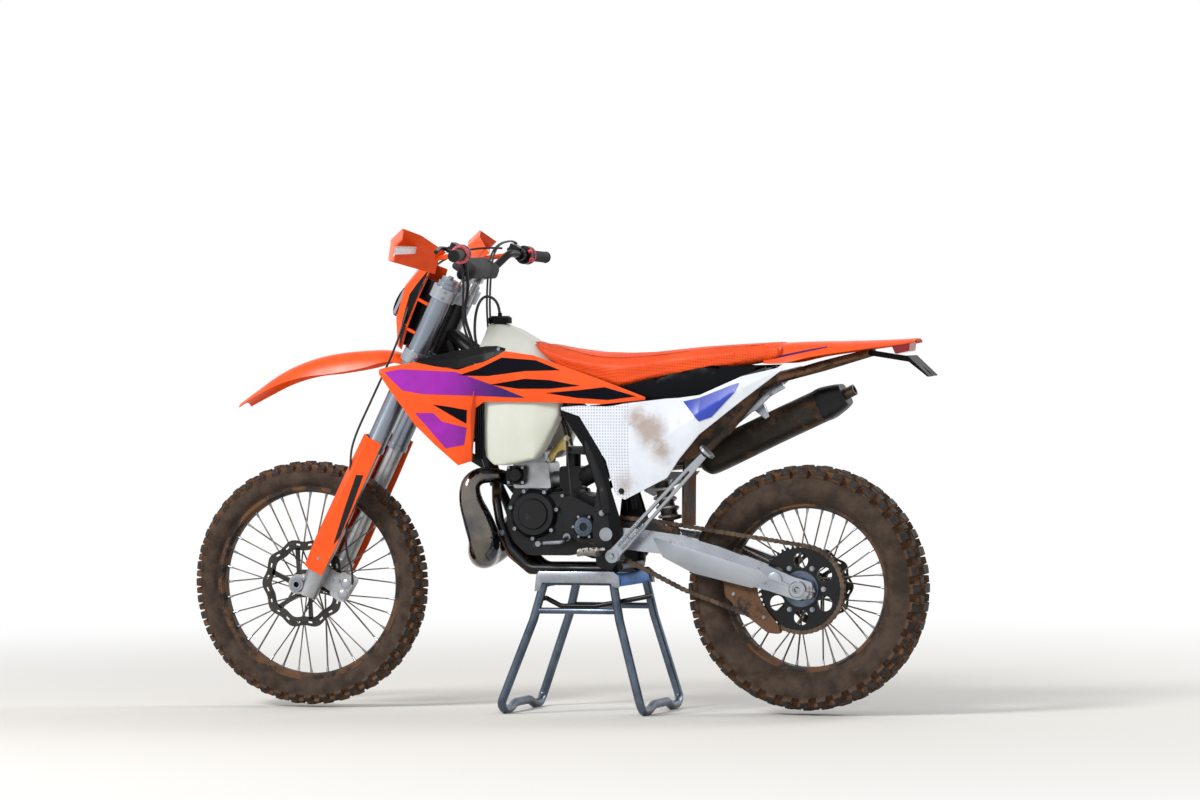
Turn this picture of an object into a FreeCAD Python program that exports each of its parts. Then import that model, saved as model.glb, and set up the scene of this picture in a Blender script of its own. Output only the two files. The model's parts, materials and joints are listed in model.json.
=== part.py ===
import FreeCAD, Part
import Sketcher
import math
import os
from FreeCAD import Placement, Rotation, Vector

# Enduro dirt bike, held upright on its paddock stand.
# X points forward, Y to the bike's left and Z up. Lengths are in millimetres, angles in degrees.
# Bike drawing coordinates: x from the middle of the wheelbase, z from the line under the tyres.

doc = FreeCAD.newDocument("EnduroBike")

# Driving dimensions

SIZES = (
    # chassis layout
    ("wheelbase", 1489),
    ("lift", 8),
    ("tail_reach", 1108),
    ("head_x", 369),
    ("head_z", 990),
    ("rake", 26.1),
    ("fork_length", 740),
    ("clamp_offset", 22),
    ("axle_lead", 33),
    ("clamp_spacing", 200),
    ("rear_axle_z", 349),
    ("pivot_x", -190),
    ("pivot_z", 500),
    # front suspension
    ("fork_spread", 97),
    ("outer_tube_radius", 29),
    ("inner_tube_radius", 24),
    ("outer_tube_length", 528),
    ("clamp_height", 36),
    ("stem_radius", 14),
    ("running_gap", 0.08),
    ("head_tube_radius", 29),
    # wheels
    ("front_radius", 351),
    ("front_tyre_width", 92),
    ("front_knob_rows", 34),
    ("front_knob_height", 13),
    ("front_rim_radius", 281),
    ("front_rim_width", 54),
    ("rear_radius", 345),
    ("rear_tyre_width", 130),
    ("rear_knob_rows", 32),
    ("rear_knob_height", 16),
    ("rear_rim_radius", 243),
    ("rear_rim_width", 70),
    ("rim_depth", 20),
    ("axle_radius", 13),
    ("axle_bore", 8),
    ("spoke_count", 36),
    ("spoke_width", 3.6),
    ("front_hub_width", 78),
    ("rear_hub_width", 96),
    ("hub_flange_radius", 36),
    ("front_disc_radius", 130),
    ("rear_disc_radius", 110),
    ("disc_thickness", 3),
    ("front_disc_y", 61),
    ("rear_disc_y", -76),
    # final drive
    ("chain_line", 80),
    ("chain_width", 16),
    ("chain_pitch", 15.875),
    ("chain_height", 15),
    ("rear_teeth", 48),
    ("drive_teeth", 13),
    ("drive_x", -119),
    ("drive_z", 520),
    ("sprocket_thickness", 6),
    ("arm_inner", 92),
    ("arm_thickness", 22),
    # frame
    ("spar_radius", 17),
    ("cradle_radius", 13),
    ("cradle_z", 400),
    ("plate_inner", 116),
    ("plate_thickness", 10),
    ("subframe_radius", 10),
    ("panel_wall", 4),
    # controls
    ("bar_radius", 11),
    ("grip_radius", 16),
    ("grip_length", 118),
    ("bar_half_width", 402),
    ("peg_length", 92),
    # paddock stand
    ("stand_tube_radius", 12.5),
    ("roller_radius", 18),
    ("stand_front_x", -14),
    ("stand_rear_x", -216),
    ("stand_half_width", 150),
    ("stand_foot_y", 186),
    ("stand_front_foot_x", 106),
    ("stand_rear_foot_x", -306),
    # side stand
    ("side_stand_tilt", 9.5),
)

sheet = doc.addObject("Spreadsheet::Sheet", "Sizes")
for row, (alias, value) in enumerate(SIZES, start=1):
    sheet.set(f"A{row}", alias)
    sheet.set(f"B{row}", str(value))
    sheet.setAlias(f"B{row}", alias)
doc.recompute()


def size(expression):
    """Value of a cell, or of a sum of cells, of the sheet."""
    return float(sheet.evalExpression(expression))


# Places that the pieces share, as formulas of the sheet

FRONT_X = ("(Sizes.head_x + Sizes.fork_length * sin(Sizes.rake)"
           " + (Sizes.clamp_offset + Sizes.axle_lead) * cos(Sizes.rake))")
FRONT_Z = ("(Sizes.head_z - Sizes.fork_length * cos(Sizes.rake)"
           " + (Sizes.clamp_offset + Sizes.axle_lead) * sin(Sizes.rake))")
REAR_X = f"({FRONT_X} - Sizes.wheelbase)"
MIDDLE = f"((Sizes.tail_reach - Sizes.front_radius - {FRONT_X}) / 2)"

PLACES = {
    "bike": (MIDDLE, "0", "Sizes.lift"),
    "steer": (f"Sizes.head_x + {MIDDLE}", "0", "Sizes.head_z + Sizes.lift"),
    "front": (f"{FRONT_X} + {MIDDLE}", "0", f"{FRONT_Z} + Sizes.lift"),
    "rear": (f"{REAR_X} + {MIDDLE}", "0", "Sizes.rear_axle_z + Sizes.lift"),
    "drive": (f"Sizes.drive_x + {MIDDLE}", "0", "Sizes.drive_z + Sizes.lift"),
    "floor": (MIDDLE, "0", "0"),
}

RAKE = size("Sizes.rake")
HEAD = Vector(size("Sizes.head_x"), 0, size("Sizes.head_z"))
FRONT_AXLE = Vector(size(FRONT_X), 0, size(FRONT_Z))
REAR_AXLE = Vector(size(REAR_X), 0, size("Sizes.rear_axle_z"))
PIVOT = Vector(size("Sizes.pivot_x"), 0, size("Sizes.pivot_z"))
DRIVE = Vector(size("Sizes.drive_x"), 0, size("Sizes.drive_z"))
STEER_TURN = Rotation(Vector(0, 1, 0), -RAKE)
ACROSS = Vector(0, 1, 0)
UP = Vector(0, 0, 1)

nodes = {}


def put(item, label, place="bike"):
    """Name a sub-part and bind its place to the sheet."""
    item.Label = label
    turn = STEER_TURN if place == "steer" else Rotation()
    item.Placement = Placement(Vector(), turn)
    for axis, expression in zip("xyz", PLACES[place]):
        item.setExpression(f"Placement.Base.{axis}", expression)
    nodes[label] = item
    return item


def add_piece(label, shape, place="bike"):
    """A sub-part from a finished shape."""
    item = doc.addObject("Part::Feature", label)
    item.Shape = shape
    return put(item, label, place)


def from_steering(x, y, z):
    """A point of the steered assembly, in bike coordinates."""
    return HEAD + STEER_TURN.multVec(Vector(x, y, z))


# Shapes that several pieces are made of

def bent_path(points, bend):
    """Straight runs joined by tangent arcs."""
    edges = []
    start = points[0]
    for before, corner, after in zip(points, points[1:], points[2:]):
        back = before - corner
        ahead = after - corner
        room = 0.45 * min(back.Length, ahead.Length)
        back.normalize()
        ahead.normalize()
        half = back.getAngle(ahead) / 2
        reach = min(bend / math.tan(half), room)
        radius = reach * math.tan(half)
        inward = (back + ahead).normalize()
        middle = corner + inward * (radius / math.sin(half) - radius)
        edges.append(Part.LineSegment(start, corner + back * reach).toShape())
        edges.append(Part.Arc(corner + back * reach, middle, corner + ahead * reach).toShape())
        start = corner + ahead * reach
    edges.append(Part.LineSegment(start, points[-1]).toShape())
    return Part.Wire(edges)


def tube(points, radius, bend=60):
    """A round bar bent along the points."""
    points = [Vector(*point) for point in points]
    if len(points) == 2:
        run = points[1] - points[0]
        return Part.makeCylinder(radius, run.Length, points[0], run)
    ring = Part.Circle(points[0], points[1] - points[0], radius).toShape()
    return bent_path(points, bend).makePipe(Part.Face(Part.Wire([ring])))


def bar(start, end, radius):
    """A straight round bar between two points."""
    return tube([start, end], radius)


def disc_y(x, z, radius, y_from, y_to):
    """A round boss whose axis lies across the bike."""
    low, high = sorted((y_from, y_to))
    return Part.makeCylinder(radius, high - low, Vector(x, low, z), ACROSS)


def tapered(rows):
    """A pipe of changing radius through rows of x, y, z and radius."""
    centres = [Vector(*row[:3]) for row in rows]
    rings = []
    for index, row in enumerate(rows):
        before = centres[max(index - 1, 0)]
        after = centres[min(index + 1, len(rows) - 1)]
        circle = Part.Circle(centres[index], after - before, row[3]).toShape()
        rings.append(Part.Wire([circle]))
    return Part.makeLoft(rings, True, True)


def side_outline(corners, y):
    """A closed outline in the XZ plane, with a corner radius in each row of x, z and radius."""
    count = len(corners)
    starts = []
    edges = []
    for index in range(count):
        corner = Vector(corners[index][0], y, corners[index][1])
        before = Vector(corners[index - 1][0], y, corners[index - 1][1]) - corner
        after_row = corners[(index + 1) % count]
        after = Vector(after_row[0], y, after_row[1]) - corner
        room = 0.49 * min(before.Length, after.Length)
        before.normalize()
        after.normalize()
        half = before.getAngle(after) / 2
        reach = min(corners[index][2] / math.tan(half), room)
        if reach < 0.2:
            starts.append((corner, corner, None))
            continue
        radius = reach * math.tan(half)
        inward = (before + after).normalize()
        middle = corner + inward * (radius / math.sin(half) - radius)
        starts.append((corner + before * reach, corner + after * reach, middle))
    for index, (enter, leave, middle) in enumerate(starts):
        if middle is not None:
            edges.append(Part.Arc(enter, middle, leave).toShape())
        following = starts[(index + 1) % count][0]
        edges.append(Part.LineSegment(leave, following).toShape())
    return Part.Wire(edges)


def plate(corners, y_from, y_to):
    """A flat plate whose outline is seen from the side."""
    low, high = sorted((y_from, y_to))
    return Part.Face(side_outline(corners, low)).extrude(Vector(0, high - low, 0))


def closed(points):
    """A wire of straight edges through the points and back."""
    return Part.makePolygon([*points, points[0]])


def panel(rows, wall):
    """A thin moulded panel. Its rows hold x, z_low, z_high, y_low, y_middle and y_high."""
    sections = []
    for x, z_low, z_high, y_low, y_middle, y_high in rows:
        z_middle = (z_low + z_high) / 2
        outer = ((y_low, z_low), (y_middle, z_middle), (y_high, z_high))
        points = [Vector(x, y, z) for y, z in outer]
        points += [Vector(x, y - wall, z) for y, z in reversed(outer)]
        sections.append(closed(points))
    return Part.makeLoft(sections, True, True)


def arched(rows, wall):
    """A mudguard shell. Its rows hold x, z of the crown, half_width and drop of the edge."""
    sections = []
    for x, z, half, drop in rows:
        outer = ((-half, -drop), (-0.72 * half, -0.22 * drop), (0, 0),
                 (0.72 * half, -0.22 * drop), (half, -drop))
        points = [Vector(x, y, z + down) for y, down in outer]
        points += [Vector(x, y * (1 - wall / half), z + down - wall) for y, down in reversed(outer)]
        sections.append(closed(points))
    return Part.makeLoft(sections, True, True)


def body_loft(rows):
    """A solid body. Its rows hold x, z_low, z_high, half_low, half_middle and half_high."""
    sections = []
    for x, z_low, z_high, half_low, half_middle, half_high in rows:
        z_middle = z_low + 0.6 * (z_high - z_low)
        z_shoulder = z_high - 0.12 * (z_high - z_low)
        side = ((half_low, z_low), (half_middle, z_middle), (half_high, z_shoulder),
                (0.55 * half_high, z_high))
        points = [Vector(x, y, z) for y, z in side]
        points += [Vector(x, -y, z) for y, z in reversed(side)]
        sections.append(closed(points))
    return Part.makeLoft(sections, True, True)


def mirrored(shape):
    return shape.mirror(Vector(), ACROSS)


def both_sides(shape):
    """A left piece and its mirror image, as solids that don't touch."""
    return Part.makeCompound([shape, mirrored(shape)])


def fused(shapes):
    """One solid from pieces that are welded or moulded together."""
    return shapes[0].multiFuse(shapes[1:]).removeSplitter()


def clear_of(shape, others):
    """A piece with the room that its neighbours take cut away, largest solids kept."""
    cut = shape.cut(others)
    largest = max(solid.Volume for solid in cut.Solids)
    kept = [solid for solid in cut.Solids if solid.Volume > 0.02 * largest]
    return kept[0] if len(kept) == 1 else Part.makeCompound(kept)


def profile_body(label, corners, place):
    """A turned piece: a profile of radius and y, bound to the sheet, spun about the wheel axis."""
    body = doc.addObject("PartDesign::Body", label)
    sketch = body.newObject("Sketcher::SketchObject", f"{label}_profile")
    plane = [item for item in body.Origin.OriginFeatures if item.Role == "XY_Plane"][0]
    sketch.AttachmentSupport = (plane, [""])
    sketch.MapMode = "FlatFace"
    points = [Vector(size(radius), size(y), 0) for radius, y in corners]
    count = len(points)
    for index in range(count):
        sketch.addGeometry(Part.LineSegment(points[index], points[(index + 1) % count]), False)
    for index in range(count):
        sketch.addConstraint(Sketcher.Constraint("Coincident", index, 2, (index + 1) % count, 1))
    for index, (radius, y) in enumerate(corners):
        across = Sketcher.Constraint("DistanceX", -1, 1, index, 1, points[index].x)
        sketch.setExpression(f"Constraints[{sketch.addConstraint(across)}]", radius)
        along = Sketcher.Constraint("DistanceY", -1, 1, index, 1, points[index].y)
        sketch.setExpression(f"Constraints[{sketch.addConstraint(along)}]", y)
    turned = body.newObject("PartDesign::Revolution", f"{label}_turned")
    turned.Profile = sketch
    spin_axis = [item for item in body.Origin.OriginFeatures if item.Role == "Y_Axis"][0]
    turned.ReferenceAxis = (spin_axis, [""])
    turned.Angle = 360
    return put(body, label, place)


# Wheels

def tyre(label, place, radius, width, rim_radius, rim_width, rows, knob):
    """A knobbly tyre in flat facets: a casing with a middle row of knobs and, half a pitch on, one down
    each shoulder. A column of facets is half a pitch wide, and is a knob's or a gap's."""
    half = width / 2
    seat = rim_width / 2 - 5
    bead = rim_radius - size("Sizes.rim_depth") / 2 + 0.6
    ground = radius - knob
    belly = rim_radius + 0.45 * (ground - rim_radius)
    side = (
        # y and radius of a line round the casing, y and radius of the knob's edge over it
        (seat, bead, 0, 0), (seat, rim_radius + 8, 0, 0), (half, belly, 0, 0),
        (half * 0.86, ground - 16, half * 0.96, ground - 16 + knob * 0.8),
        (half * 0.56, ground - 4, half * 0.58, ground - 4 + knob), (half * 0.4, ground, half * 0.38, radius),
    )
    lines = [(-y, r, -tip_y, tip_r) for y, r, tip_y, tip_r in side] + list(reversed(side))
    strips = len(lines)
    knob_columns = {3: 1, 5: 0, 7: 1}
    columns = 2 * rows

    def corner(y, reach, column):
        angle = 2 * math.pi * column / columns
        return Vector(reach * math.cos(angle), y, reach * math.sin(angle))

    def facet(*corners):
        return Part.Face(closed(corners))

    faces = []
    for strip in range(strips):
        y, reach, tip_y, tip = lines[strip]
        next_y, next_reach, next_tip_y, next_tip = lines[(strip + 1) % strips]
        for column in range(columns):
            ends = (column, column + 1)
            base = [corner(y, reach, ends[0]), corner(y, reach, ends[1]),
                    corner(next_y, next_reach, ends[1]), corner(next_y, next_reach, ends[0])]
            if knob_columns.get(strip) != column % 2:
                faces.append(facet(*base))
                continue
            top = [corner(tip_y, tip, ends[0]), corner(tip_y, tip, ends[1]),
                   corner(next_tip_y, next_tip, ends[1]), corner(next_tip_y, next_tip, ends[0])]
            faces.append(facet(*top))
            for first in range(4):
                second = (first + 1) % 4
                faces.append(facet(base[first], base[second], top[second], top[first]))
    shell = Part.makeShell(faces)
    shell.sewShape()
    return add_piece(label, Part.makeSolid(Part.Shell(shell.Faces)), place)


def rim(label, place, rim_radius, rim_width):
    """An extruded rim: spoke bed, bead seats and two flanges."""
    bed = f"{rim_radius} - Sizes.rim_depth"
    seat = f"{rim_radius} - Sizes.rim_depth / 2"
    profile = (
        (bed, f"-{rim_width} / 4"),
        (f"{seat} - 3", f"-{rim_width} / 2"),
        (rim_radius, f"-{rim_width} / 2"),
        (rim_radius, f"-{rim_width} / 2 + 4"),
        (seat, f"-{rim_width} / 2 + 5"),
        (seat, f"{rim_width} / 2 - 5"),
        (rim_radius, f"{rim_width} / 2 - 4"),
        (rim_radius, f"{rim_width} / 2"),
        (f"{seat} - 3", f"{rim_width} / 2"),
        (bed, f"{rim_width} / 4"),
    )
    return profile_body(label, profile, place)


def spokes(hub_width, rim_inner, rim_spread):
    """Laced spokes: alternate sides, alternate lean, from flange holes to the rim bed."""
    count = int(size("Sizes.spoke_count"))
    width = size("Sizes.spoke_width")
    flange = size("Sizes.hub_flange_radius") - 5
    lean = 50
    rods = []
    for index in range(count):
        angle = 360 * index / count
        side = 1 if index % 2 else -1
        turn = lean if (index // 2) % 2 else -lean
        foot = Vector(flange, side * (hub_width / 2 - 4), 0)
        foot = Rotation(ACROSS, angle + turn).multVec(foot)
        head = Rotation(ACROSS, angle).multVec(Vector(rim_inner, side * rim_spread, 0))
        run = head - foot
        rod = Part.makeBox(width, width, run.Length, Vector(-width / 2, -width / 2, 0))
        rod.Placement = Placement(foot, Rotation(UP, run))
        rods.append(rod)
    return rods


def hub(label, place, hub_width, flange_radius, rim_inner, rim_spread, left_boss, right_boss):
    """A spool hub with its spokes: barrel, two flanges and a bored middle."""
    bore = size("Sizes.axle_radius") + size("Sizes.running_gap")
    barrel = Part.makeCylinder(21, hub_width, Vector(0, -hub_width / 2, 0), ACROSS)
    pieces = [barrel]
    for side in (-1, 1):
        edge = side * hub_width / 2
        inner = edge - side * 8
        low = min(edge, inner)
        pieces.append(Part.makeCylinder(flange_radius, 8, Vector(0, low, 0), ACROSS))
    for boss_radius, y_end in (left_boss, right_boss):
        start = hub_width / 2 if y_end > 0 else -hub_width / 2
        pieces.append(disc_y(0, 0, boss_radius, start, y_end))
    pieces += spokes(hub_width, rim_inner, rim_spread)
    reach = max(left_boss[1], -right_boss[1]) + 1
    core = Part.makeCylinder(bore, 2 * reach, Vector(0, -reach, 0), ACROSS)
    return add_piece(label, fused(pieces).cut(core), place)


def disc(label, place, radius, carrier_radius, y_middle, arms):
    """A brake disc: a ring, arms and a small carrier ring bolted to the hub."""
    thickness = size("Sizes.disc_thickness")
    low = y_middle - thickness / 2

    def ring(outer, inner):
        whole = Part.makeCylinder(outer, thickness, Vector(0, low, 0), ACROSS)
        return whole.cut(Part.makeCylinder(inner, thickness, Vector(0, low, 0), ACROSS))

    pieces = [ring(radius, radius - 24), ring(carrier_radius, carrier_radius - 14)]
    waves = 2 * arms
    hollows = []
    for index in range(waves):
        hollow = Part.makeCylinder(15, thickness, Vector(radius + 10, low, 0), ACROSS)
        slot = Part.makeBox(4, thickness, 14, Vector(radius - 15, low, -7))
        for cutter, shift in ((hollow, 0), (slot, 0.5)):
            cutter.rotate(Vector(), ACROSS, 360 * (index + shift) / waves)
            hollows.append(cutter)
    for index in range(arms):
        arm = Part.makeBox(radius - carrier_radius - 8, thickness, 12,
                           Vector(carrier_radius - 6, low, -6))
        arm.rotate(Vector(), ACROSS, 360 * index / arms)
        pieces.append(arm)
    return add_piece(label, fused(pieces).cut(hollows), place)


FRONT_RIM = "Sizes.front_rim_radius"
REAR_RIM = "Sizes.rear_rim_radius"
for end in ("front", "rear"):
    tyre(f"{end}_tyre", end, size(f"Sizes.{end}_radius"), size(f"Sizes.{end}_tyre_width"),
         size(f"Sizes.{end}_rim_radius"), size(f"Sizes.{end}_rim_width"),
         int(size(f"Sizes.{end}_knob_rows")), size(f"Sizes.{end}_knob_height"))
rim("front_rim", "front", FRONT_RIM, "Sizes.front_rim_width")
rim("rear_rim", "rear", REAR_RIM, "Sizes.rear_rim_width")
FRONT_BED = size(f"{FRONT_RIM} - Sizes.rim_depth")
REAR_BED = size(f"{REAR_RIM} - Sizes.rim_depth")
HALF_DISC = size("Sizes.disc_thickness") / 2
FRONT_DISC_Y = size("Sizes.front_disc_y")
REAR_DISC_Y = size("Sizes.rear_disc_y")
CHAIN_LINE = size("Sizes.chain_line")
HALF_SPROCKET = size("Sizes.sprocket_thickness") / 2
hub("front_hub", "front", size("Sizes.front_hub_width"), size("Sizes.hub_flange_radius"),
    FRONT_BED - 0.5, 6, (30, FRONT_DISC_Y - HALF_DISC), (24, -FRONT_DISC_Y))
hub("rear_hub", "rear", size("Sizes.rear_hub_width"), size("Sizes.hub_flange_radius"),
    REAR_BED - 0.5, 8, (38, CHAIN_LINE - HALF_SPROCKET), (32, REAR_DISC_Y + HALF_DISC))
disc("front_disc", "front", size("Sizes.front_disc_radius"), 34, FRONT_DISC_Y, 6)
disc("rear_disc", "rear", size("Sizes.rear_disc_radius"), 36, REAR_DISC_Y, 6)


# Final drive

PITCH = size("Sizes.chain_pitch")
REAR_TEETH = int(size("Sizes.rear_teeth"))
DRIVE_TEETH = int(size("Sizes.drive_teeth"))
REAR_PITCH_RADIUS = PITCH / (2 * math.sin(math.pi / REAR_TEETH))
DRIVE_PITCH_RADIUS = PITCH / (2 * math.sin(math.pi / DRIVE_TEETH))
CHAIN_HALF = size("Sizes.chain_height") / 2
ROLLER_RADIUS = PITCH * 0.32
CHAIN_OUTWARD = -1


def sprocket(label, place, teeth, pitch_radius, open_middle):
    """A toothed wheel: short teeth between the chain's rollers, and a carrier ring."""
    low = CHAIN_LINE - HALF_SPROCKET
    wide = 2 * HALF_SPROCKET
    root = pitch_radius - ROLLER_RADIUS - 0.6
    points = []
    for tooth in range(teeth):
        middle = 360 * (tooth + 0.5) / teeth
        for offset, radius in ((-0.3, root), (-0.1, pitch_radius + 1.5),
                               (0.1, pitch_radius + 1.5), (0.3, root)):
            angle = math.radians(middle + offset * 360 / teeth)
            points.append(Vector(radius * math.cos(angle), low, -radius * math.sin(angle)))
    wheel = Part.Face(closed(points)).extrude(Vector(0, wide, 0))
    if open_middle:
        bore = size("Sizes.axle_radius") + 14
        wheel = wheel.cut(Part.makeCylinder(bore, wide, Vector(0, low, 0), ACROSS))
        middle_radius = (root + 44) / 2
        window = Part.makeCylinder((root - 60) / 2.6, wide, Vector(middle_radius, low, 0), ACROSS)
        for index in range(6):
            hole = window.copy()
            hole.rotate(Vector(), ACROSS, 60 * index + 30)
            wheel = wheel.cut(hole)
    return add_piece(label, wheel, place)


sprocket("rear_sprocket", "rear", REAR_TEETH, REAR_PITCH_RADIUS, True)
sprocket("drive_sprocket", "drive", DRIVE_TEETH, DRIVE_PITCH_RADIUS, False)


def chain_line():
    """The pitch line of the chain: pins round both sprockets, a run over the slider and a slack run."""
    slider = Vector(-300, CHAIN_LINE, PIVOT.z + 39)
    sag = Vector(-400, CHAIN_LINE, 345)

    def tangent(centre, radius, point, side):
        away = point - centre
        reach = away.Length
        angle = math.atan2(away.z, away.x) + side * math.acos(radius / reach)
        return Vector(centre.x + radius * math.cos(angle), CHAIN_LINE, centre.z + radius * math.sin(angle))

    drive = Vector(DRIVE.x, CHAIN_LINE, DRIVE.z)
    rear = Vector(REAR_AXLE.x, CHAIN_LINE, REAR_AXLE.z)
    top_front = tangent(drive, DRIVE_PITCH_RADIUS, slider, -1)
    top_rear = tangent(rear, REAR_PITCH_RADIUS, slider, 1)
    low_rear = tangent(rear, REAR_PITCH_RADIUS, sag, -1)
    low_front = tangent(drive, DRIVE_PITCH_RADIUS, sag, 1)

    def wrapped(centre, start, end, teeth):
        """Pins from start to end round a sprocket, a tooth apart, the way that the loop runs."""
        first = start - centre
        angle = math.atan2(first.z, first.x)
        swept = (math.atan2((end - centre).z, (end - centre).x) - angle) % (2 * math.pi)
        steps = round(swept * teeth / (2 * math.pi))
        return [centre + Vector(first.Length * math.cos(angle + swept * step / steps), 0,
                                first.Length * math.sin(angle + swept * step / steps))
                for step in range(steps + 1)]

    return closed([slider] + wrapped(rear, top_rear, low_rear, REAR_TEETH) + [sag]
                  + wrapped(drive, low_front, top_front, DRIVE_TEETH))


def chain():
    """The drive chain as a closed band round both sprockets."""
    line = chain_line()

    def offset_face(distance):
        """The area inside the line, moved out by a distance with its corners kept."""
        return Part.Face(line.makeOffset2D(distance, join=2))

    outer = offset_face(CHAIN_HALF)
    inner = offset_face(-CHAIN_HALF)
    wide = size("Sizes.chain_width")
    band = outer.cut(inner).extrude(Vector(0, wide, 0))
    band.translate(Vector(0, -wide / 2, 0))
    slot = offset_face(ROLLER_RADIUS).cut(offset_face(-CHAIN_HALF - 1))
    gap = 2 * HALF_SPROCKET + 1.4
    slot = slot.extrude(Vector(0, gap, 0))
    slot.translate(Vector(0, -gap / 2, 0))
    links = 2 * round(line.Length / PITCH / 2)
    points = line.discretize(Number=2 * links + 1)
    waists = []
    for middle in range(1, 2 * links, 4):
        run = (points[middle + 1] - points[middle - 1]).normalize()
        out = run.cross(ACROSS) * CHAIN_OUTWARD
        centre = points[middle] - ACROSS * wide / 2
        above = centre + out * (CHAIN_HALF + 2)
        notch = Part.Face(closed((above - run * 10, above + run * 10, centre + out * (CHAIN_HALF - 2))))
        waists.append(notch.extrude(Vector(0, wide, 0)))
    return band.cut([slot] + waists)


chain_shape = chain()
add_piece("chain", chain_shape.Solids[0] if len(chain_shape.Solids) == 1 else chain_shape)


# Frame

def frame():
    """A steel double cradle: head tube, two spars, one down tube that splits, pivot plates."""
    spar = size("Sizes.spar_radius")
    cradle = size("Sizes.cradle_radius")
    low = size("Sizes.cradle_z")
    inner = size("Sizes.plate_inner")
    outer = inner + size("Sizes.plate_thickness")
    half_clamp = size("Sizes.clamp_height") / 2
    head_low = half_clamp + 5
    head_high = size("Sizes.clamp_spacing") - half_clamp - 5
    head_tube = bar(from_steering(0, 0, head_low), from_steering(0, 0, head_high),
                    size("Sizes.head_tube_radius"))
    upper = from_steering(-8, 0, 95)
    lower = from_steering(-10, 0, 80)
    pieces = [head_tube]
    plate_corners = (
        (PIVOT.x + 26, PIVOT.z + 150, 12), (PIVOT.x - 4, PIVOT.z + 150, 12),
        (PIVOT.x - 34, PIVOT.z + 40, 20), (PIVOT.x - 46, PIVOT.z - 62, 14),
        (PIVOT.x - 10, PIVOT.z - 108, 10), (PIVOT.x + 30, PIVOT.z - 90, 14),
        (PIVOT.x + 42, PIVOT.z + 10, 20),
    )
    for side in (-1, 1):
        pieces.append(tube([(upper.x, side * 10, upper.z), (170, side * 46, 962), (-30, side * 66, 868),
                            (-120, side * 112, 790), (PIVOT.x + 8, side * (inner + 5), PIVOT.z + 120),
                            (PIVOT.x, side * (inner + 5), PIVOT.z + 60)], spar, 90))
        pieces.append(tube([(178, side * 6, 640), (166, side * 40, 590), (150, side * 58, 530),
                            (120, side * 64, 458), (56, side * 74, low), (-70, side * 90, low),
                            (PIVOT.x - 30, side * 104, low), (PIVOT.x - 24, side * (inner + 4), low + 50)],
                           cradle, 50))
        pieces.append(plate(plate_corners, side * inner, side * outer))
    pieces.append(tube([lower, (200, 0, 700), (178, 0, 636)], 20, 60))
    pieces.append(bar((PIVOT.x - 30, -104, low + 8), (PIVOT.x - 30, 104, low + 8), 11))
    pieces.append(bar((-44, -70, 874), (-44, 70, 874), 12))
    stem_bore = size("Sizes.stem_radius") + size("Sizes.running_gap")
    bore = bar(from_steering(0, 0, -20), from_steering(0, 0, size("Sizes.clamp_spacing") + 20), stem_bore)
    return fused(pieces).cut(bore)


STAND_PIVOT = Vector(PIVOT.x - 34, size("Sizes.plate_inner + Sizes.plate_thickness") + 50, 441)
STAND_FOOT = Vector(PIVOT.x - 312, STAND_PIVOT.y, 734)
STAND_RUN = (STAND_FOOT - STAND_PIVOT).normalize()
STAND_PIN = Rotation(STAND_RUN, -size("Sizes.side_stand_tilt")).multVec(ACROSS)


def side_stand_lug():
    """Lug welded to the left pivot plate, with the side stand's tilted pivot pin."""
    start = STAND_PIVOT - STAND_PIN * 54
    arm = bar(start, STAND_PIVOT - STAND_PIN * 9.3, 14)
    pin = bar(start, STAND_PIVOT + STAND_PIN * 12, 8)
    return arm.fuse(pin)


frame_shape = fused([frame(), side_stand_lug()])
add_piece("frame", frame_shape)


def subframe():
    """Seat rails and lower struts, welded in pairs and bolted to the spars."""
    radius = size("Sizes.subframe_radius")
    pieces = []
    for side in (-1, 1):
        pieces.append(tube([(-104, side * 104, 806), (-190, side * 96, 872), (-420, side * 80, 888),
                            (-640, side * 56, 962)], radius, 60))
        pieces.append(tube([(PIVOT.x + 6, side * (size("Sizes.plate_inner") - 4), PIVOT.z + 128),
                            (-330, side * 98, 740), (-560, side * 68, 936)], radius, 60))
    pieces.append(bar((-620, -58, 955), (-620, 58, 955), radius))
    pieces.append(bar((-330, -98, 740), (-330, 98, 740), radius))
    return clear_of(fused(pieces), [frame_shape])


subframe_shape = subframe()
add_piece("subframe", subframe_shape)


# Engine

def crankcase():
    """Crankcase and gearbox in one casting, with its front and lower mounting lugs."""
    body = plate(((124, 486, 20), (132, 560, 30), (112, 614, 16), (-60, 616, 20), (-128, 604, 24),
                  (-158, 560, 20), (-156, 470, 24), (-60, 436, 30), (70, 436, 30)), -78, 56)
    barrel_seat = plate(((112, 600, 4), (112, 626, 4), (-2, 626, 4), (-2, 600, 4)), -50, 50)
    mount = bar((PIVOT.x + 2, -60, PIVOT.z), (PIVOT.x + 2, 56, PIVOT.z), 24)
    link = plate(((-150, 530, 4), (-150, 472, 4), (PIVOT.x, 478, 4), (PIVOT.x, 524, 4)), -60, 56)
    pivot_bore = disc_y(PIVOT.x, PIVOT.z, 14, -90, 90)
    drive_shaft = disc_y(DRIVE.x, DRIVE.z, 14, 50, CHAIN_LINE - HALF_SPROCKET)
    return fused([body, barrel_seat, mount, link, drive_shaft]).cut(pivot_bore)


crankcase_shape = clear_of(crankcase(), [frame_shape])
add_piece("crankcase", crankcase_shape)


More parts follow.
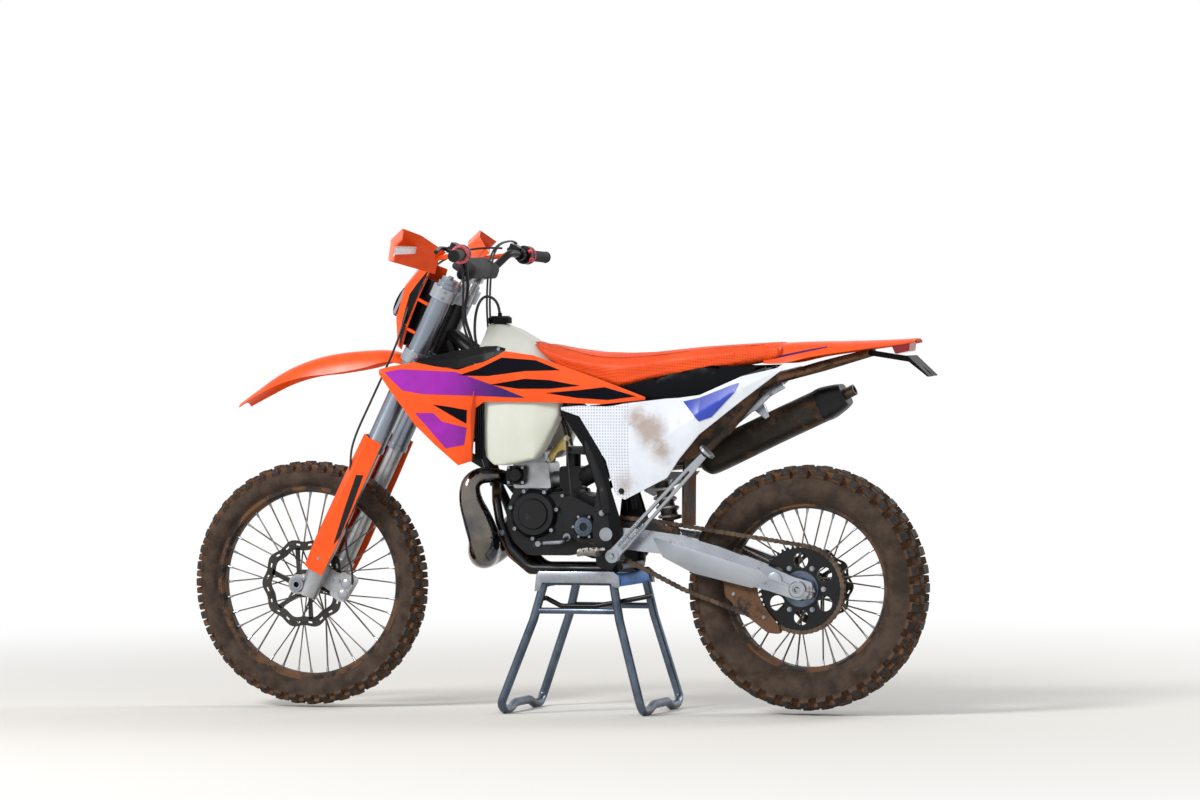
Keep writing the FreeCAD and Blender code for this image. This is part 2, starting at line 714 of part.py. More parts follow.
def domed(x, z, radius, y_from, y_to, rim_step):
    """A round cover with a sloped shoulder."""
    out = 1 if y_to > y_from else -1
    shoulder = abs(y_to - y_from) * 0.5
    base = Part.makeCylinder(radius, shoulder, Vector(x, y_from, z), ACROSS * out)
    crown = Part.makeCone(radius, radius - rim_step, abs(y_to - y_from) - shoulder,
                          Vector(x, y_from + out * shoulder, z), ACROSS * out)
    return base.fuse(crown)


def bosses(x, z, reach, count, radius, y_from, y_to, first=0):
    """A ring of screw bosses round a cover."""
    angles = [math.radians(first + 360 * index / count) for index in range(count)]
    return [disc_y(x + reach * math.cos(angle), z + reach * math.sin(angle), radius, y_from, y_to)
            for angle in angles]


def engine_covers():
    """Ignition cover and sprocket cover on the left, clutch cover and pump on the right, and the exhaust
    valve's cover on the barrel."""
    left = fused([
        domed(41, 554, 71, 56, 88, 12),
        plate(((110, 600, 14), (-40, 612, 12), (-70, 596, 8), (-72, 480, 10), (0, 470, 14), (100, 500, 14)),
              56, 74),
        plate(((-50, 604, 12), (-80, 606, 12), (-160, 566, 14), (-160, 486, 14), (-110, 470, 14),
               (-58, 500, 10)), CHAIN_LINE + 11, CHAIN_LINE + 19),
        plate(((-50, 604, 6), (-70, 604, 6), (-70, 500, 6), (-50, 500, 6)), 56, CHAIN_LINE + 19),
        domed(DRIVE.x, DRIVE.z, 34, CHAIN_LINE + 19, CHAIN_LINE + 36, 5),
        domed(41, 554, 44, 86, 93, 3),
    ] + bosses(41, 554, 70, 7, 8, 58, 82, 15)
        + bosses(DRIVE.x, DRIVE.z, 32, 6, 5, CHAIN_LINE + 17, CHAIN_LINE + 33))
    right = fused([
        domed(-20, 542, 86, -78, -106, 12),
        plate(((118, 500, 14), (110, 596, 14), (-120, 598, 14), (-140, 500, 14), (-60, 452, 20),
               (60, 452, 20)), -78, -92),
        domed(84, 500, 30, -92, -112, 6),
        domed(-20, 542, 58, -104, -112, 4),
    ] + bosses(-20, 542, 84, 9, 8, -80, -100))
    valve = fused([plate(((126, 690, 10), (128, 640, 14), (70, 634, 14), (66, 690, 10)), 52.2, 66),
                   domed(98, 664, 22, 64, 78, 5)] + bosses(98, 664, 30, 4, 5, 62, 70, 45))
    return Part.makeCompound([left, right, valve])


covers_shape = clear_of(engine_covers(), [frame_shape])
add_piece("engine_covers", covers_shape)


def cylinder():
    """Water-cooled barrel and head, bolted down on the crankcase."""
    barrel = plate(((110, 626, 6), (112, 700, 10), (8, 700, 10), (-2, 626, 6)), -52, 52)
    head = plate(((106, 700, 6), (98, 738, 14), (22, 738, 14), (14, 700, 6)), -46, 46)
    port = bar((100, 0, 648), (120, 0, 650), 27)
    intake = bar((10, 0, 650), (-18, 0, 650), 24)
    plug = bar((60, 0, 736), (60, 0, 772), 9)
    outlet = bar((86, -20, 724), (112, -30, 748), 13)
    nuts = [Part.makeCylinder(7, 8, Vector(60 + 30 * along, 36 * across, 736)) for along in (-1, 0.2, 1)
            for across in (-1, 1)]
    return fused([barrel, head, port, intake, plug, outlet] + nuts)


cylinder_shape = clear_of(cylinder(), [crankcase_shape])
add_piece("cylinder", cylinder_shape)


EXHAUST = (
    # x, y, z, radius
    (120, 0, 650, 20), (140, 24, 654, 20), (166, 60, 662, 21), (202, 84, 660, 24), (224, 96, 636, 28),
    (222, 100, 590, 34), (200, 102, 534, 42), (184, 98, 482, 45), (198, 62, 448, 45), (214, 0, 440, 44),
    (200, -62, 456, 42), (176, -116, 496, 40), (132, -148, 556, 37), (60, -166, 616, 32),
    (-40, -172, 656, 26), (-160, -172, 676, 20), (-280, -160, 684, 15), (-392, -142, 694, 14),
)
SILENCER = (
    # x, y, z, radius
    (-392, -142, 694, 30), (-412, -140, 704, 46), (-470, -134, 730, 48), (-760, -122, 862, 46),
    (-806, -120, 884, 38), (-826, -119, 893, 30),
)
exhaust_shape = clear_of(tapered(EXHAUST), [cylinder_shape])
add_piece("exhaust_chamber", exhaust_shape)


def silencer():
    """Muffler can with a tapered end cap and an open tail pipe."""
    can = tapered(SILENCER)
    tail = tapered(((-812, -120, 886, 16), (-850, -118, 904, 16)))
    opening = tapered(((-818, -119.5, 889, 12), (-852, -118, 905, 12)))
    hanger = bar((-560, -128, 800), (-560, -60, 930), 6)
    return clear_of(fused([can, tail, hanger]).cut(opening), [subframe_shape, exhaust_shape])


silencer_shape = silencer()
add_piece("silencer", silencer_shape)


def carburettor():
    """Slide carburettor with its float bowl and the rubber boot to the airbox."""
    body = plate(((-18, 688, 10), (-18, 622, 10), (-86, 622, 10), (-86, 688, 10)), -26, 26)
    bowl = plate(((-28, 624, 4), (-32, 592, 12), (-76, 596, 12), (-80, 624, 4)), -24, 24)
    top = bar((-52, 0, 684), (-52, 0, 736), 21)
    boot = tapered(((-84, 0, 656, 27), (-120, 20, 672, 27), (-200, 44, 712, 30), (-330, 46, 740, 40)))
    return fused([body, bowl, top, boot])


carburettor_shape = clear_of(carburettor(), [crankcase_shape, frame_shape, subframe_shape, cylinder_shape])
add_piece("carburettor", carburettor_shape)

AIRBOX = (
    # x, z_low, z_high, half_low, half_middle, half_high
    (-330, 700, 868, 70, 84, 74), (-420, 712, 876, 66, 80, 70), (-500, 776, 892, 56, 70, 62),
    (-590, 880, 926, 40, 50, 46),
)
airbox_shape = clear_of(body_loft(AIRBOX), [subframe_shape, frame_shape, carburettor_shape])
add_piece("airbox", airbox_shape)

SHOCK_LOW = Vector(-352, 0, 492)
SHOCK_HIGH = Vector(-258, 0, 850)


def shock_absorber():
    """Damper body, rod and coil spring between the swingarm bridge and the frame."""
    run = (SHOCK_HIGH - SHOCK_LOW).normalize()

    def at(distance):
        return SHOCK_LOW + run * distance

    pieces = [
        disc_y(SHOCK_LOW.x, SHOCK_LOW.z, 14, -14.5, 14.5), disc_y(SHOCK_LOW.x, SHOCK_LOW.z, 6, -24, 24),
        bar(at(0), at(150), 9), bar(at(34), at(44), 33), bar(at(120), at(330), 22),
        bar(at(270), at(282), 33), bar(at(318), at(350), 26),
    ]
    turns = 7
    spacing = (270 - 44) / turns
    for index in range(turns):
        low = at(44 + spacing * index)
        ridge = at(44 + spacing * (index + 0.5))
        pieces.append(Part.makeCone(25, 33, spacing / 2, low, run))
        pieces.append(Part.makeCone(33, 25, spacing / 2, ridge, run))
    return fused(pieces)


shock_shape = shock_absorber()


# Swingarm and what it carries

def arm_corners():
    """Side outline of one arm, from the pivot to the axle clamp."""
    axle = REAR_AXLE
    return (
        (PIVOT.x + 20, PIVOT.z + 22, 20), (PIVOT.x - 92, PIVOT.z + 15, 20), (PIVOT.x - 210, PIVOT.z - 1, 30),
        (axle.x + 228, axle.z + 118, 30), (axle.x + 110, axle.z + 76, 30), (axle.x + 10, axle.z + 34, 12),
        (axle.x - 42, axle.z + 20, 12), (axle.x - 42, axle.z - 24, 10), (axle.x, axle.z - 30, 12),
        (axle.x + 86, axle.z - 4, 30), (axle.x + 200, axle.z + 22, 30), (PIVOT.x - 152, PIVOT.z - 54, 30),
        (PIVOT.x - 60, PIVOT.z - 44, 20), (PIVOT.x + 22, PIVOT.z - 24, 20),
    )


def swingarm():
    """Two cast arms, a bridge ahead of the wheel and the pivot tube."""
    inner = size("Sizes.arm_inner")
    outer = inner + size("Sizes.arm_thickness")
    corners = arm_corners()
    pieces = [plate(corners, inner, outer), plate(corners, -outer, -inner)]
    bridge = plate(((PIVOT.x - 96, PIVOT.z - 2, 8), (PIVOT.x - 140, PIVOT.z - 8, 8),
                    (PIVOT.x - 140, PIVOT.z - 44, 8), (PIVOT.x - 96, PIVOT.z - 36, 8)), -inner, inner)
    pivot = disc_y(PIVOT.x, PIVOT.z, 20, -inner - 4, inner + 4).cut(disc_y(PIVOT.x, PIVOT.z, 14, -140, 140))
    slit = disc_y(REAR_AXLE.x, REAR_AXLE.z, size("Sizes.axle_radius") + 0.1, -140, 140)
    ear = ((PIVOT.x - 110, PIVOT.z - 4, 4), (SHOCK_LOW.x - 14, SHOCK_LOW.z + 14, 10),
           (SHOCK_LOW.x - 14, SHOCK_LOW.z - 14, 10), (PIVOT.x - 110, PIVOT.z - 36, 4))
    ears = [plate(ear, side * 14.5, side * 24) for side in (-1, 1)]
    middle = disc_y(PIVOT.x, PIVOT.z, 26, -62, 58)
    arms = fused(pieces + [bridge] + ears).cut(slit).cut(disc_y(PIVOT.x, PIVOT.z, 14, -140, 140))
    sleeve = pivot.cut(middle)
    return fused([arms] + sleeve.Solids)


swingarm_shape = swingarm()
swingarm_shape = clear_of(swingarm_shape, [crankcase_shape, shock_shape])
add_piece("swingarm", swingarm_shape)
shock_shape = clear_of(shock_shape, [swingarm_shape, frame_shape, subframe_shape, carburettor_shape, airbox_shape])
add_piece("shock_absorber", shock_shape)


def rear_axle():
    """Hollow axle, its end nuts, the adjuster blocks and the swingarm pivot bolt."""
    radius = size("Sizes.axle_radius")
    outer = size("Sizes.arm_inner + Sizes.arm_thickness")
    axle = disc_y(0, 0, radius, -outer - 12, outer + 12).fuse([
        disc_y(0, 0, radius + 6, outer, outer + 9), disc_y(0, 0, radius + 6, -outer - 9, -outer)])
    axle = axle.cut(disc_y(0, 0, size("Sizes.axle_bore"), -outer - 13, outer + 13))
    spacers = [disc_y(0, 0, radius + 7, low, high).cut(disc_y(0, 0, radius, low, high))
               for low, high in ((CHAIN_LINE + HALF_SPROCKET + 0.5, outer - 22.2),
                                 (-outer + 22.2, REAR_DISC_Y - HALF_DISC - 0.5))]
    return Part.makeCompound([fused([axle] + spacers)])


add_piece("rear_axle", rear_axle(), "rear")


def pivot_bolt():
    """The bolt that swingarm, engine and frame plates share."""
    outer = size("Sizes.plate_inner + Sizes.plate_thickness")
    shaft = disc_y(PIVOT.x, PIVOT.z, 13.8, -outer, outer)
    return fused([shaft, disc_y(PIVOT.x, PIVOT.z, 19, outer, outer + 7),
                  disc_y(PIVOT.x, PIVOT.z, 19, -outer - 7, -outer)])


pivot_shape = pivot_bolt()
frame_shape = frame_shape.cut(pivot_shape)
nodes["frame"].Shape = frame_shape
add_piece("pivot_bolt", pivot_shape)


def chain_guide():
    """Guide under the swingarm that leads the chain's lower run, and the slider on top."""
    guide = plate(((-520, 388, 6), (-526, 330, 8), (-560, 296, 8), (-650, 226, 8), (-690, 222, 8),
                   (-680, 250, 8), (-640, 300, 8), (-606, 368, 6)), CHAIN_LINE - 12, CHAIN_LINE + 11.7)
    slider = plate(((PIVOT.x + 14, PIVOT.z + 34, 4), (PIVOT.x - 110, PIVOT.z + 34, 4),
                    (PIVOT.x - 200, PIVOT.z + 16, 4), (PIVOT.x - 200, PIVOT.z - 20, 4), (PIVOT.x - 60, PIVOT.z - 6, 4),
                    (PIVOT.x - 30, PIVOT.z + 24, 4), (PIVOT.x + 14, PIVOT.z + 28, 4)),
                   CHAIN_LINE - 10, CHAIN_LINE + 11.7)
    sprocket_room = disc_y(REAR_AXLE.x, REAR_AXLE.z, REAR_PITCH_RADIUS + 8, CHAIN_LINE - 20, CHAIN_LINE + 9)
    return Part.makeCompound([clear_of(guide, [chain_shape, swingarm_shape, sprocket_room]),
                              clear_of(slider, [chain_shape, swingarm_shape, crankcase_shape])])


add_piece("chain_guide", chain_guide())


def rear_caliper():
    """Rear brake caliper and its bracket, under the right arm."""
    x = 88
    z = 64
    outer = plate(((x - 30, z + 26, 10), (x + 34, z + 22, 10), (x + 40, z - 22, 10), (x - 26, z - 22, 10)),
                  REAR_DISC_Y - 16, REAR_DISC_Y + 18)
    slot = disc_y(0, 0, size("Sizes.rear_disc_radius") + 5, REAR_DISC_Y - 5, REAR_DISC_Y + 5)
    bracket = plate(((14, 20, 6), (x - 20, z + 8, 6), (x + 20, z - 10, 6), (16, -14, 6)),
                    REAR_DISC_Y - 9, REAR_DISC_Y - 15)
    ring = disc_y(0, 0, 30, REAR_DISC_Y - 9, REAR_DISC_Y - 15)
    axle_room = disc_y(0, 0, size("Sizes.axle_radius") + 7.2, -140, 0)
    return fused([outer.cut(slot), bracket, ring]).cut(axle_room)


add_piece("rear_caliper", rear_caliper(), "rear")


# Bodywork

TANK_TOP = (
    # x, z_low, z_high, half_low, half_middle, half_high
    (-57, 860, 950, 96, 116, 66), (0, 868, 1000, 124, 134, 70), (60, 872, 1050, 140, 142, 70),
    (110, 876, 1078, 144, 146, 68), (160, 880, 1094, 144, 146, 64), (196, 900, 1090, 124, 128, 54),
)
TANK_LOBE = (
    # x, z_low, z_high, y_low, y_middle, y_high
    (-50, 835, 880, 122, 122, 118), (-4, 738, 880, 136, 138, 132), (16, 712, 880, 144, 145, 138),
    (100, 693, 884, 150, 152, 144), (140, 694, 886, 150, 152, 144), (162, 716, 888, 146, 148, 142),
    (180, 800, 890, 138, 140, 134),
)


def fuel_tank():
    """Moulded tank: one upper body over the spars and a lobe down each side of the engine."""
    lobe = panel(TANK_LOBE, 58)
    tank = fused([body_loft(TANK_TOP), lobe, mirrored(lobe)])
    spar = size("Sizes.spar_radius") + 3
    tunnel = [tube([from_steering(-8, side * 10, 95), (170, side * 46, 962), (-30, side * 66, 868),
                    (-120, side * 112, 790)], spar, 90) for side in (-1, 1)]
    middle = Part.makeBox(320, 92, 70, Vector(-80, -46, 850))
    neck = bar((166, 0, 1060), (166, 0, 1093), 30)
    return clear_of(tank.fuse(neck), tunnel + [middle, frame_shape, cylinder_shape, subframe_shape])


tank_shape = fuel_tank()
add_piece("fuel_tank", tank_shape)


def tank_cap():
    """Ribbed filler cap."""
    rim_ring = Part.makeCylinder(34, 16, Vector(166, 0, 1093))
    crown = Part.makeCone(34, 26, 6, Vector(166, 0, 1109))
    vent = bar((166, 0, 1114), (166, 0, 1124), 6)
    return fused([rim_ring, crown, vent])


cap_shape = clear_of(tank_cap(), [tank_shape])
add_piece("tank_cap", cap_shape)

SEAT = (
    # x, z_low, z_high, half_low, half_middle, half_high
    (84, 1044, 1056, 30, 34, 30), (14, 1000, 1034, 66, 72, 52), (-58, 962, 1020, 92, 100, 70),
    (-140, 940, 1009, 104, 112, 84), (-222, 914, 1006, 110, 120, 98), (-313, 936, 1009, 110, 120, 100),
    (-450, 958, 1023, 104, 114, 96), (-577, 976, 1031, 96, 104, 86), (-690, 996, 1037, 80, 86, 68),
)
seat_shape = clear_of(body_loft(SEAT), [tank_shape, subframe_shape, frame_shape])
add_piece("seat", seat_shape)

SHROUD = (
    # x, z_low, z_high, y_low, y_middle, y_high
    (-308, 878, 886, 132, 132, 131), (-181, 866, 934, 138, 139, 134), (-43, 871, 982, 146, 148, 138),
    (20, 872, 1004, 150, 152, 140), (100, 873, 1016, 154, 158, 148), (160, 874, 986, 160, 164, 158),
    (184, 856, 980, 164, 170, 164), (194, 706, 976, 172, 180, 168), (233, 694, 964, 178, 190, 176),
    (300, 752, 974, 184, 198, 184), (359, 809, 986, 188, 198, 188), (430, 904, 974, 190, 194, 190),
    (466, 952, 966, 186, 188, 186),
)
SHROUD_WING = (
    # x, z_low, z_high, y_low, y_middle, y_high
    (102, 1017, 1024, 148, 146, 142), (130, 1003, 1031, 153, 148, 140), (162, 987, 1030, 158, 150, 138),
    (235, 967, 1020, 176, 164, 148), (300, 976, 1006, 184, 176, 164), (352, 988, 994, 187, 185, 182),
)
SIDE_PANEL = (
    # x, z_low, z_high, y_low, y_middle, y_high
    (-60, 850, 858, 134, 134, 134), (-114, 832, 862, 134, 136, 136), (-193, 708, 860, 138, 142, 140),
    (-220, 612, 862, 138, 148, 144), (-248, 598, 868, 138, 150, 146), (-375, 660, 882, 146, 156, 146),
    (-411, 712, 884, 150, 158, 144), (-470, 782, 892, 148, 154, 138), (-587, 874, 944, 132, 132, 118),
    (-700, 962, 970, 104, 102, 98),
)
GUARD = (
    # x, z_low, z_high, y_low, y_middle, y_high
    (-56, 846, 854, 130, 130, 130), (-84, 806, 846, 130, 130, 130), (-112, 764, 832, 130, 130, 130),
    (-140, 724, 802, 130, 131, 130), (-166, 676, 756, 130, 131, 130), (-190, 588, 690, 130, 131, 130),
    (-206, 470, 622, 130, 131, 130), (-232, 470, 540, 130, 130, 130),
)
WALL = size("Sizes.panel_wall")
SHROUD_BOSSES = (
    # x, z, y_inner, y_outer, radius
    (10, 930, 120, 149, 9), (120, 940, 138, 160, 9), (300, 850, 160, 194, 8),
)
shroud_side = fused([panel(SHROUD, WALL)] + [bar((x, inner, z), (x, outer, z), radius)
                                             for x, z, inner, outer, radius in SHROUD_BOSSES])


def radiators():
    """Two coolers that stand beside the down tube, leaned back with the fork."""
    fins = [Part.makeBox(7, 76, 9, Vector(8, 82, 8 + 16 * index)) for index in range(13)]
    block = Part.makeBox(30, 84, 220, Vector(-15, 78, 0)).cut(fins)
    tanks = [Part.makeBox(36, 88, 22, Vector(-18, 76, z)) for z in (-22, 220)]
    left = fused([block] + tanks)
    left.rotate(Vector(), ACROSS, -RAKE * 0.72)
    left.translate(Vector(322, 0, 724))
    left = fused([left, bar((300, 84, 762), (226, 8, 762), 6), bar((268, 84, 900), (292, 8, 900), 6)])
    return clear_of(both_sides(left), [frame_shape, tank_shape])


radiator_shape = radiators()
add_piece("radiators", radiator_shape)


def hoses():
    """Coolant hoses on the right: from the head to the radiator, and from the radiator down to the pump."""
    upper = tube([(108, -29, 744), (140, -40, 778), (200, -66, 830), (262, -88, 852)], 12, 40)
    lower = tube([(84, -100, 512), (112, -92, 566), (186, -92, 652), (300, -100, 716)], 12, 40)
    return clear_of(Part.makeCompound([upper, lower]),
                    [cylinder_shape, covers_shape, crankcase_shape, radiator_shape, frame_shape, exhaust_shape])


add_piece("hoses", hoses())
shroud_shape = clear_of(both_sides(shroud_side), [radiator_shape, tank_shape])
add_piece("shrouds", shroud_shape)
add_piece("shroud_wings", clear_of(both_sides(panel(SHROUD_WING, WALL)), [shroud_shape]))
guard_shape = clear_of(both_sides(panel(GUARD, WALL)), [frame_shape, pivot_shape])
add_piece("frame_guards", guard_shape)


def side_panels():
    """Left and right panels. The right one is cut back round the exhaust."""
    left = panel(SIDE_PANEL, WALL)
    room = tapered([(x, y, z, radius + 8) for x, y, z, radius in EXHAUST[12:]])
    muffler_room = tapered([(x, y, z, radius + 8) for x, y, z, radius in SILENCER])
    right = clear_of(mirrored(left), [room, muffler_room])
    return clear_of(Part.makeCompound([left] + right.Solids), [guard_shape])


side_panel_shape = side_panels()
add_piece("side_panels", side_panel_shape)

REAR_GUARD = (
    # x, z, half_width, drop
    (-640, 1030, 84, 50), (-700, 1037, 82, 56), (-780, 1040, 82, 42), (-868, 1041, 80, 30),
    (-955, 1043, 74, 20), (-1030, 1046, 62, 14), (-1066, 1048, 46, 10),
)
rear_guard_shape = clear_of(arched(REAR_GUARD, WALL), [seat_shape, subframe_shape, side_panel_shape])
add_piece("rear_mudguard", rear_guard_shape)


def inner_fender():
    """Fender between the seat rails and the wheel, and the mud flap ahead of the wheel."""
    under = arched(((-520, 912, 54, 20), (-640, 944, 52, 20), (-780, 984, 58, 24), (-930, 1020, 60, 16)), WALL)
    flap = tapered_box(((-404, 800, 52, 6), (-398, 640, 58, 6), (-396, 520, 60, 5)))
    return clear_of(Part.makeCompound([under, flap]),
                    [subframe_shape, airbox_shape, swingarm_shape, rear_guard_shape, seat_shape, side_panel_shape])


def tapered_box(rows):
    """A hanging sheet through rows of x, z, half_width and thickness."""
    sections = []
    for x, z, half, thick in rows:
        sections.append(closed([Vector(x, -half, z), Vector(x, half, z), Vector(x + thick, half, z),
                                Vector(x + thick, -half, z)]))
    return Part.makeLoft(sections, True, True)


inner_shape = inner_fender()
add_piece("inner_fender", inner_shape)


def tail_light():
    """Small lamp under the tip of the mudguard."""
    return clear_of(plate(((-990, 1044, 4), (-1052, 1046, 4), (-1048, 1012, 6), (-1008, 1004, 6)), -34, 34),
                    [rear_guard_shape, inner_shape])


tail_light_shape = tail_light()
add_piece("tail_light", tail_light_shape)


def plate_holder():
    """Bracket that hangs from the tail and carries a plain plate."""
    tip = -size("Sizes.tail_reach")
    stalk = plate(((-920, 1016, 4), (-996, 1004, 6), (-1050, 996, 6), (tip + 6, 952, 4), (tip, 942, 3),
                   (tip + 14, 940, 4), (-1040, 982, 8), (-990, 990, 8), (-926, 1000, 4)), -9, 9)
    sheet_metal = plate(((-1044, 1000, 2), (-1048, 1000, 2), (tip, 944, 2), (tip + 4, 942, 2)), -52, 52)
    return clear_of(fused([stalk, sheet_metal]), [rear_guard_shape, inner_shape, tail_light_shape])


add_piece("plate_holder", plate_holder())


SKID_HALF = 76


def skid_plate():
    """Plastic plate under the cradle tubes and up in front of the crankcase."""
    low = size("Sizes.cradle_z") - size("Sizes.cradle_radius")
    outline = ((146, 500, 2), (116, 438, 20), (60, low, 20), (-150, low, 2), (-150, low - WALL, 2),
               (58, low - WALL, 20), (120, 432, 20), (150, 498, 2))
    return clear_of(plate(outline, -SKID_HALF, SKID_HALF), [frame_shape, exhaust_shape])


skid_shape = skid_plate()
add_piece("skid_plate", skid_shape)


# Rider's feet

def foot_pegs():
    """Folding pegs with toothed rails, on brackets at the pivot plates."""
    start = size("Sizes.plate_inner + Sizes.plate_thickness")
    length = size("Sizes.peg_length")
    pieces = [bar((-168, start, 446), (-168, start + 34, 446), 12)]
    for x in (-196, -146):
        pieces.append(Part.makeBox(6, length, 24, Vector(x, start + 24, 440)))
    pieces.append(Part.makeBox(56, 8, 20, Vector(-196, start + 22, 440)))
    pieces.append(Part.makeBox(56, 6, 22, Vector(-196, start + 18 + length, 441)))
    pieces.append(Part.makeBox(40, length - 8, 5, Vector(-188, start + 26, 446)))
    return both_sides(fused(pieces))


peg_shape = clear_of(foot_pegs(), [frame_shape, guard_shape])
add_piece("foot_pegs", peg_shape)


def foot_controls():
    """Shift lever on the left, brake pedal and kick-starter on the right."""
    shift = fused([tube([(-66, 104, 490), (-66, 150, 478), (2, 160, 474)], 6, 14),
                   bar((-6, 148, 474), (-6, 186, 474), 8), disc_y(-66, 490, 11, 74.2, 108)])
    brake = fused([tube([(-168, -150, 428), (-60, -152, 424), (20, -150, 450)], 6, 20),
                   bar((20, -136, 452), (20, -176, 452), 8), disc_y(-168, 428, 12, -126.2, -158)])
    kick = fused([disc_y(-96, 590, 13, -92.2, -122),
                  tube([(-96, -116, 590), (-128, -124, 720), (-128, -150, 740)], 8, 12)])
    return Part.makeCompound([shift, brake, kick])


add_piece("foot_controls", clear_of(foot_controls(), [covers_shape, peg_shape, guard_shape, frame_shape,
                                                      crankcase_shape, exhaust_shape, tank_shape]))


# Side stand, folded up

def side_stand():
    """Cast leg with a knuckle at the pivot and a splayed foot."""
    leg = tapered(((STAND_PIVOT.x - 10, STAND_PIVOT.y, STAND_PIVOT.z + 10, 8.5),
                   (STAND_PIVOT.x - 110, STAND_PIVOT.y, STAND_PIVOT.z + 116, 9),
                   (STAND_FOOT.x, STAND_FOOT.y, STAND_FOOT.z, 8)))
    knuckle = bar(STAND_PIVOT - STAND_PIN * 9, STAND_PIVOT + STAND_PIN * 9, 16)
    foot = plate(((STAND_FOOT.x + 22, STAND_FOOT.z + 14, 6), (STAND_FOOT.x - 10, STAND_FOOT.z + 20, 6),
                  (STAND_FOOT.x - 30, STAND_FOOT.z - 8, 6), (STAND_FOOT.x + 6, STAND_FOOT.z - 12, 6)),
                 STAND_PIVOT.y - 8, STAND_PIVOT.y + 8)
    bore = bar(STAND_PIVOT - STAND_PIN * 30, STAND_PIVOT + STAND_PIN * 30, 8 + size("Sizes.running_gap"))
    return fused([leg, knuckle, foot]).cut(bore)


add_piece("side_stand", side_stand())


# Steered assembly, in the steering frame: z along the steering axis, x forward

FORK_X = size("Sizes.clamp_offset")
FORK_Y = size("Sizes.fork_spread")
OUTER = size("Sizes.outer_tube_radius")
INNER = size("Sizes.inner_tube_radius")
CLAMP_GAP = size("Sizes.clamp_spacing")
CLAMP_HALF = size("Sizes.clamp_height") / 2
FORK_TOP = CLAMP_GAP + CLAMP_HALF + 14
FORK_FOOT = -size("Sizes.fork_length")
AXLE_X = size("Sizes.clamp_offset + Sizes.axle_lead")


def clamp(z):
    """One fork clamp: a bridge between two split collars, with the stem boss in its middle."""
    low = z - CLAMP_HALF
    high = 2 * CLAMP_HALF
    bridge = [Vector(-22, -34, low), Vector(FORK_X - 20, -FORK_Y, low), Vector(FORK_X + 20, -FORK_Y, low),
              Vector(FORK_X + 12, 0, low), Vector(FORK_X + 20, FORK_Y, low), Vector(FORK_X - 20, FORK_Y, low),
              Vector(-22, 34, low)]
    pieces = [Part.Face(closed(bridge)).extrude(Vector(0, 0, high)),
              Part.makeCylinder(30, high, Vector(0, 0, low))]
    for side in (-1, 1):
        pieces.append(Part.makeCylinder(OUTER + 9, high, Vector(FORK_X, side * FORK_Y, low)))
    shape = fused(pieces)
    for side in (-1, 1):
        shape = shape.cut(Part.makeCylinder(OUTER, high, Vector(FORK_X, side * FORK_Y, low)))
    return shape


def triple_clamps():
    """Lower and upper clamp, joined by the steering stem, with the bar risers on top."""
    stem = Part.makeCylinder(size("Sizes.stem_radius"), CLAMP_GAP, Vector(0, 0, 0))
    nut = Part.makeCylinder(18, 10, Vector(0, 0, CLAMP_GAP + CLAMP_HALF))
    risers = []
    for side in (-1, 1):
        post = Part.makeCylinder(13, 38, Vector(FORK_X - 26, side * 42, CLAMP_GAP + CLAMP_HALF))
        risers.append(post)
        risers.append(Part.makeBox(38, 24, 32, Vector(FORK_X - 45, side * 42 - 12, CLAMP_GAP + CLAMP_HALF + 34)))
    return fused([clamp(0), clamp(CLAMP_GAP), stem, nut] + risers)


BAR_X = FORK_X - 26
BAR_Z = CLAMP_GAP + CLAMP_HALF + 50


def handlebar():
    """Tapered bar: thick in the clamp, bent up and back, thin under the grips."""
    half = size("Sizes.bar_half_width")
    radius = size("Sizes.bar_radius")
    centre = bar((BAR_X, -62, BAR_Z), (BAR_X, 62, BAR_Z), 14)
    ends = [tube([(BAR_X, side * 60, BAR_Z), (BAR_X, side * 112, BAR_Z), (BAR_X - 14, side * 186, BAR_Z + 80),
                  (BAR_X - 52, side * half, BAR_Z + 86)], radius, 40) for side in (-1, 1)]
    return fused([centre] + ends)


bar_shape = handlebar()
clamps_shape = triple_clamps().cut(bar_shape)
add_piece("handlebar", bar_shape, "steer")
add_piece("triple_clamps", clamps_shape, "steer")


def bar_end(side, distance):
    """A point on the straight grip end of the bar, a distance in from its tip."""
    tip = Vector(BAR_X - 52, side * size("Sizes.bar_half_width"), BAR_Z + 86)
    inner = Vector(BAR_X - 14, side * 186, BAR_Z + 80)
    return tip + (inner - tip).normalize() * distance


def grips():
    """Rubber grips with a flange at the inner end."""
    radius = size("Sizes.grip_radius")
    length = size("Sizes.grip_length")
    pieces = []
    for side in (-1, 1):
        sleeve = bar(bar_end(side, 0.5), bar_end(side, length), radius)
        flange = bar(bar_end(side, length - 6), bar_end(side, length), radius + 9)
        pieces.append(sleeve.fuse(flange).cut(bar_shape))
    return Part.makeCompound(pieces)


grip_shape = grips()
add_piece("grips", grip_shape, "steer")


def hand_controls():
    """Clutch and brake levers on their perches, master cylinders and switch."""
    length = size("Sizes.grip_length")
    pieces = []
    for side in (-1, 1):
        inner = bar_end(side, length + 44)
        outer = bar_end(side, length + 14)
        perch = bar(inner, outer, 18)
        reservoir = Part.makeBox(34, 40, 26, (inner + outer) * 0.5 + Vector(4, -20, -8))
        pivot = outer + Vector(44, 0, -6)
        arm = bar(outer + Vector(8, 0, -2), pivot, 9)
        knee = bar_end(side, length - 10) + Vector(62, 0, -10)
        tip = bar_end(side, 12) + Vector(54, 0, -14)
        lever = tube([pivot, knee, tip], 6, 40)
        switch = bar(bar_end(side, length + 4), bar_end(side, length + 12.5), 17)
        pieces.append(fused([perch, reservoir, arm, lever, switch]).cut(bar_shape))
    return clear_of(Part.makeCompound(pieces), [grip_shape])


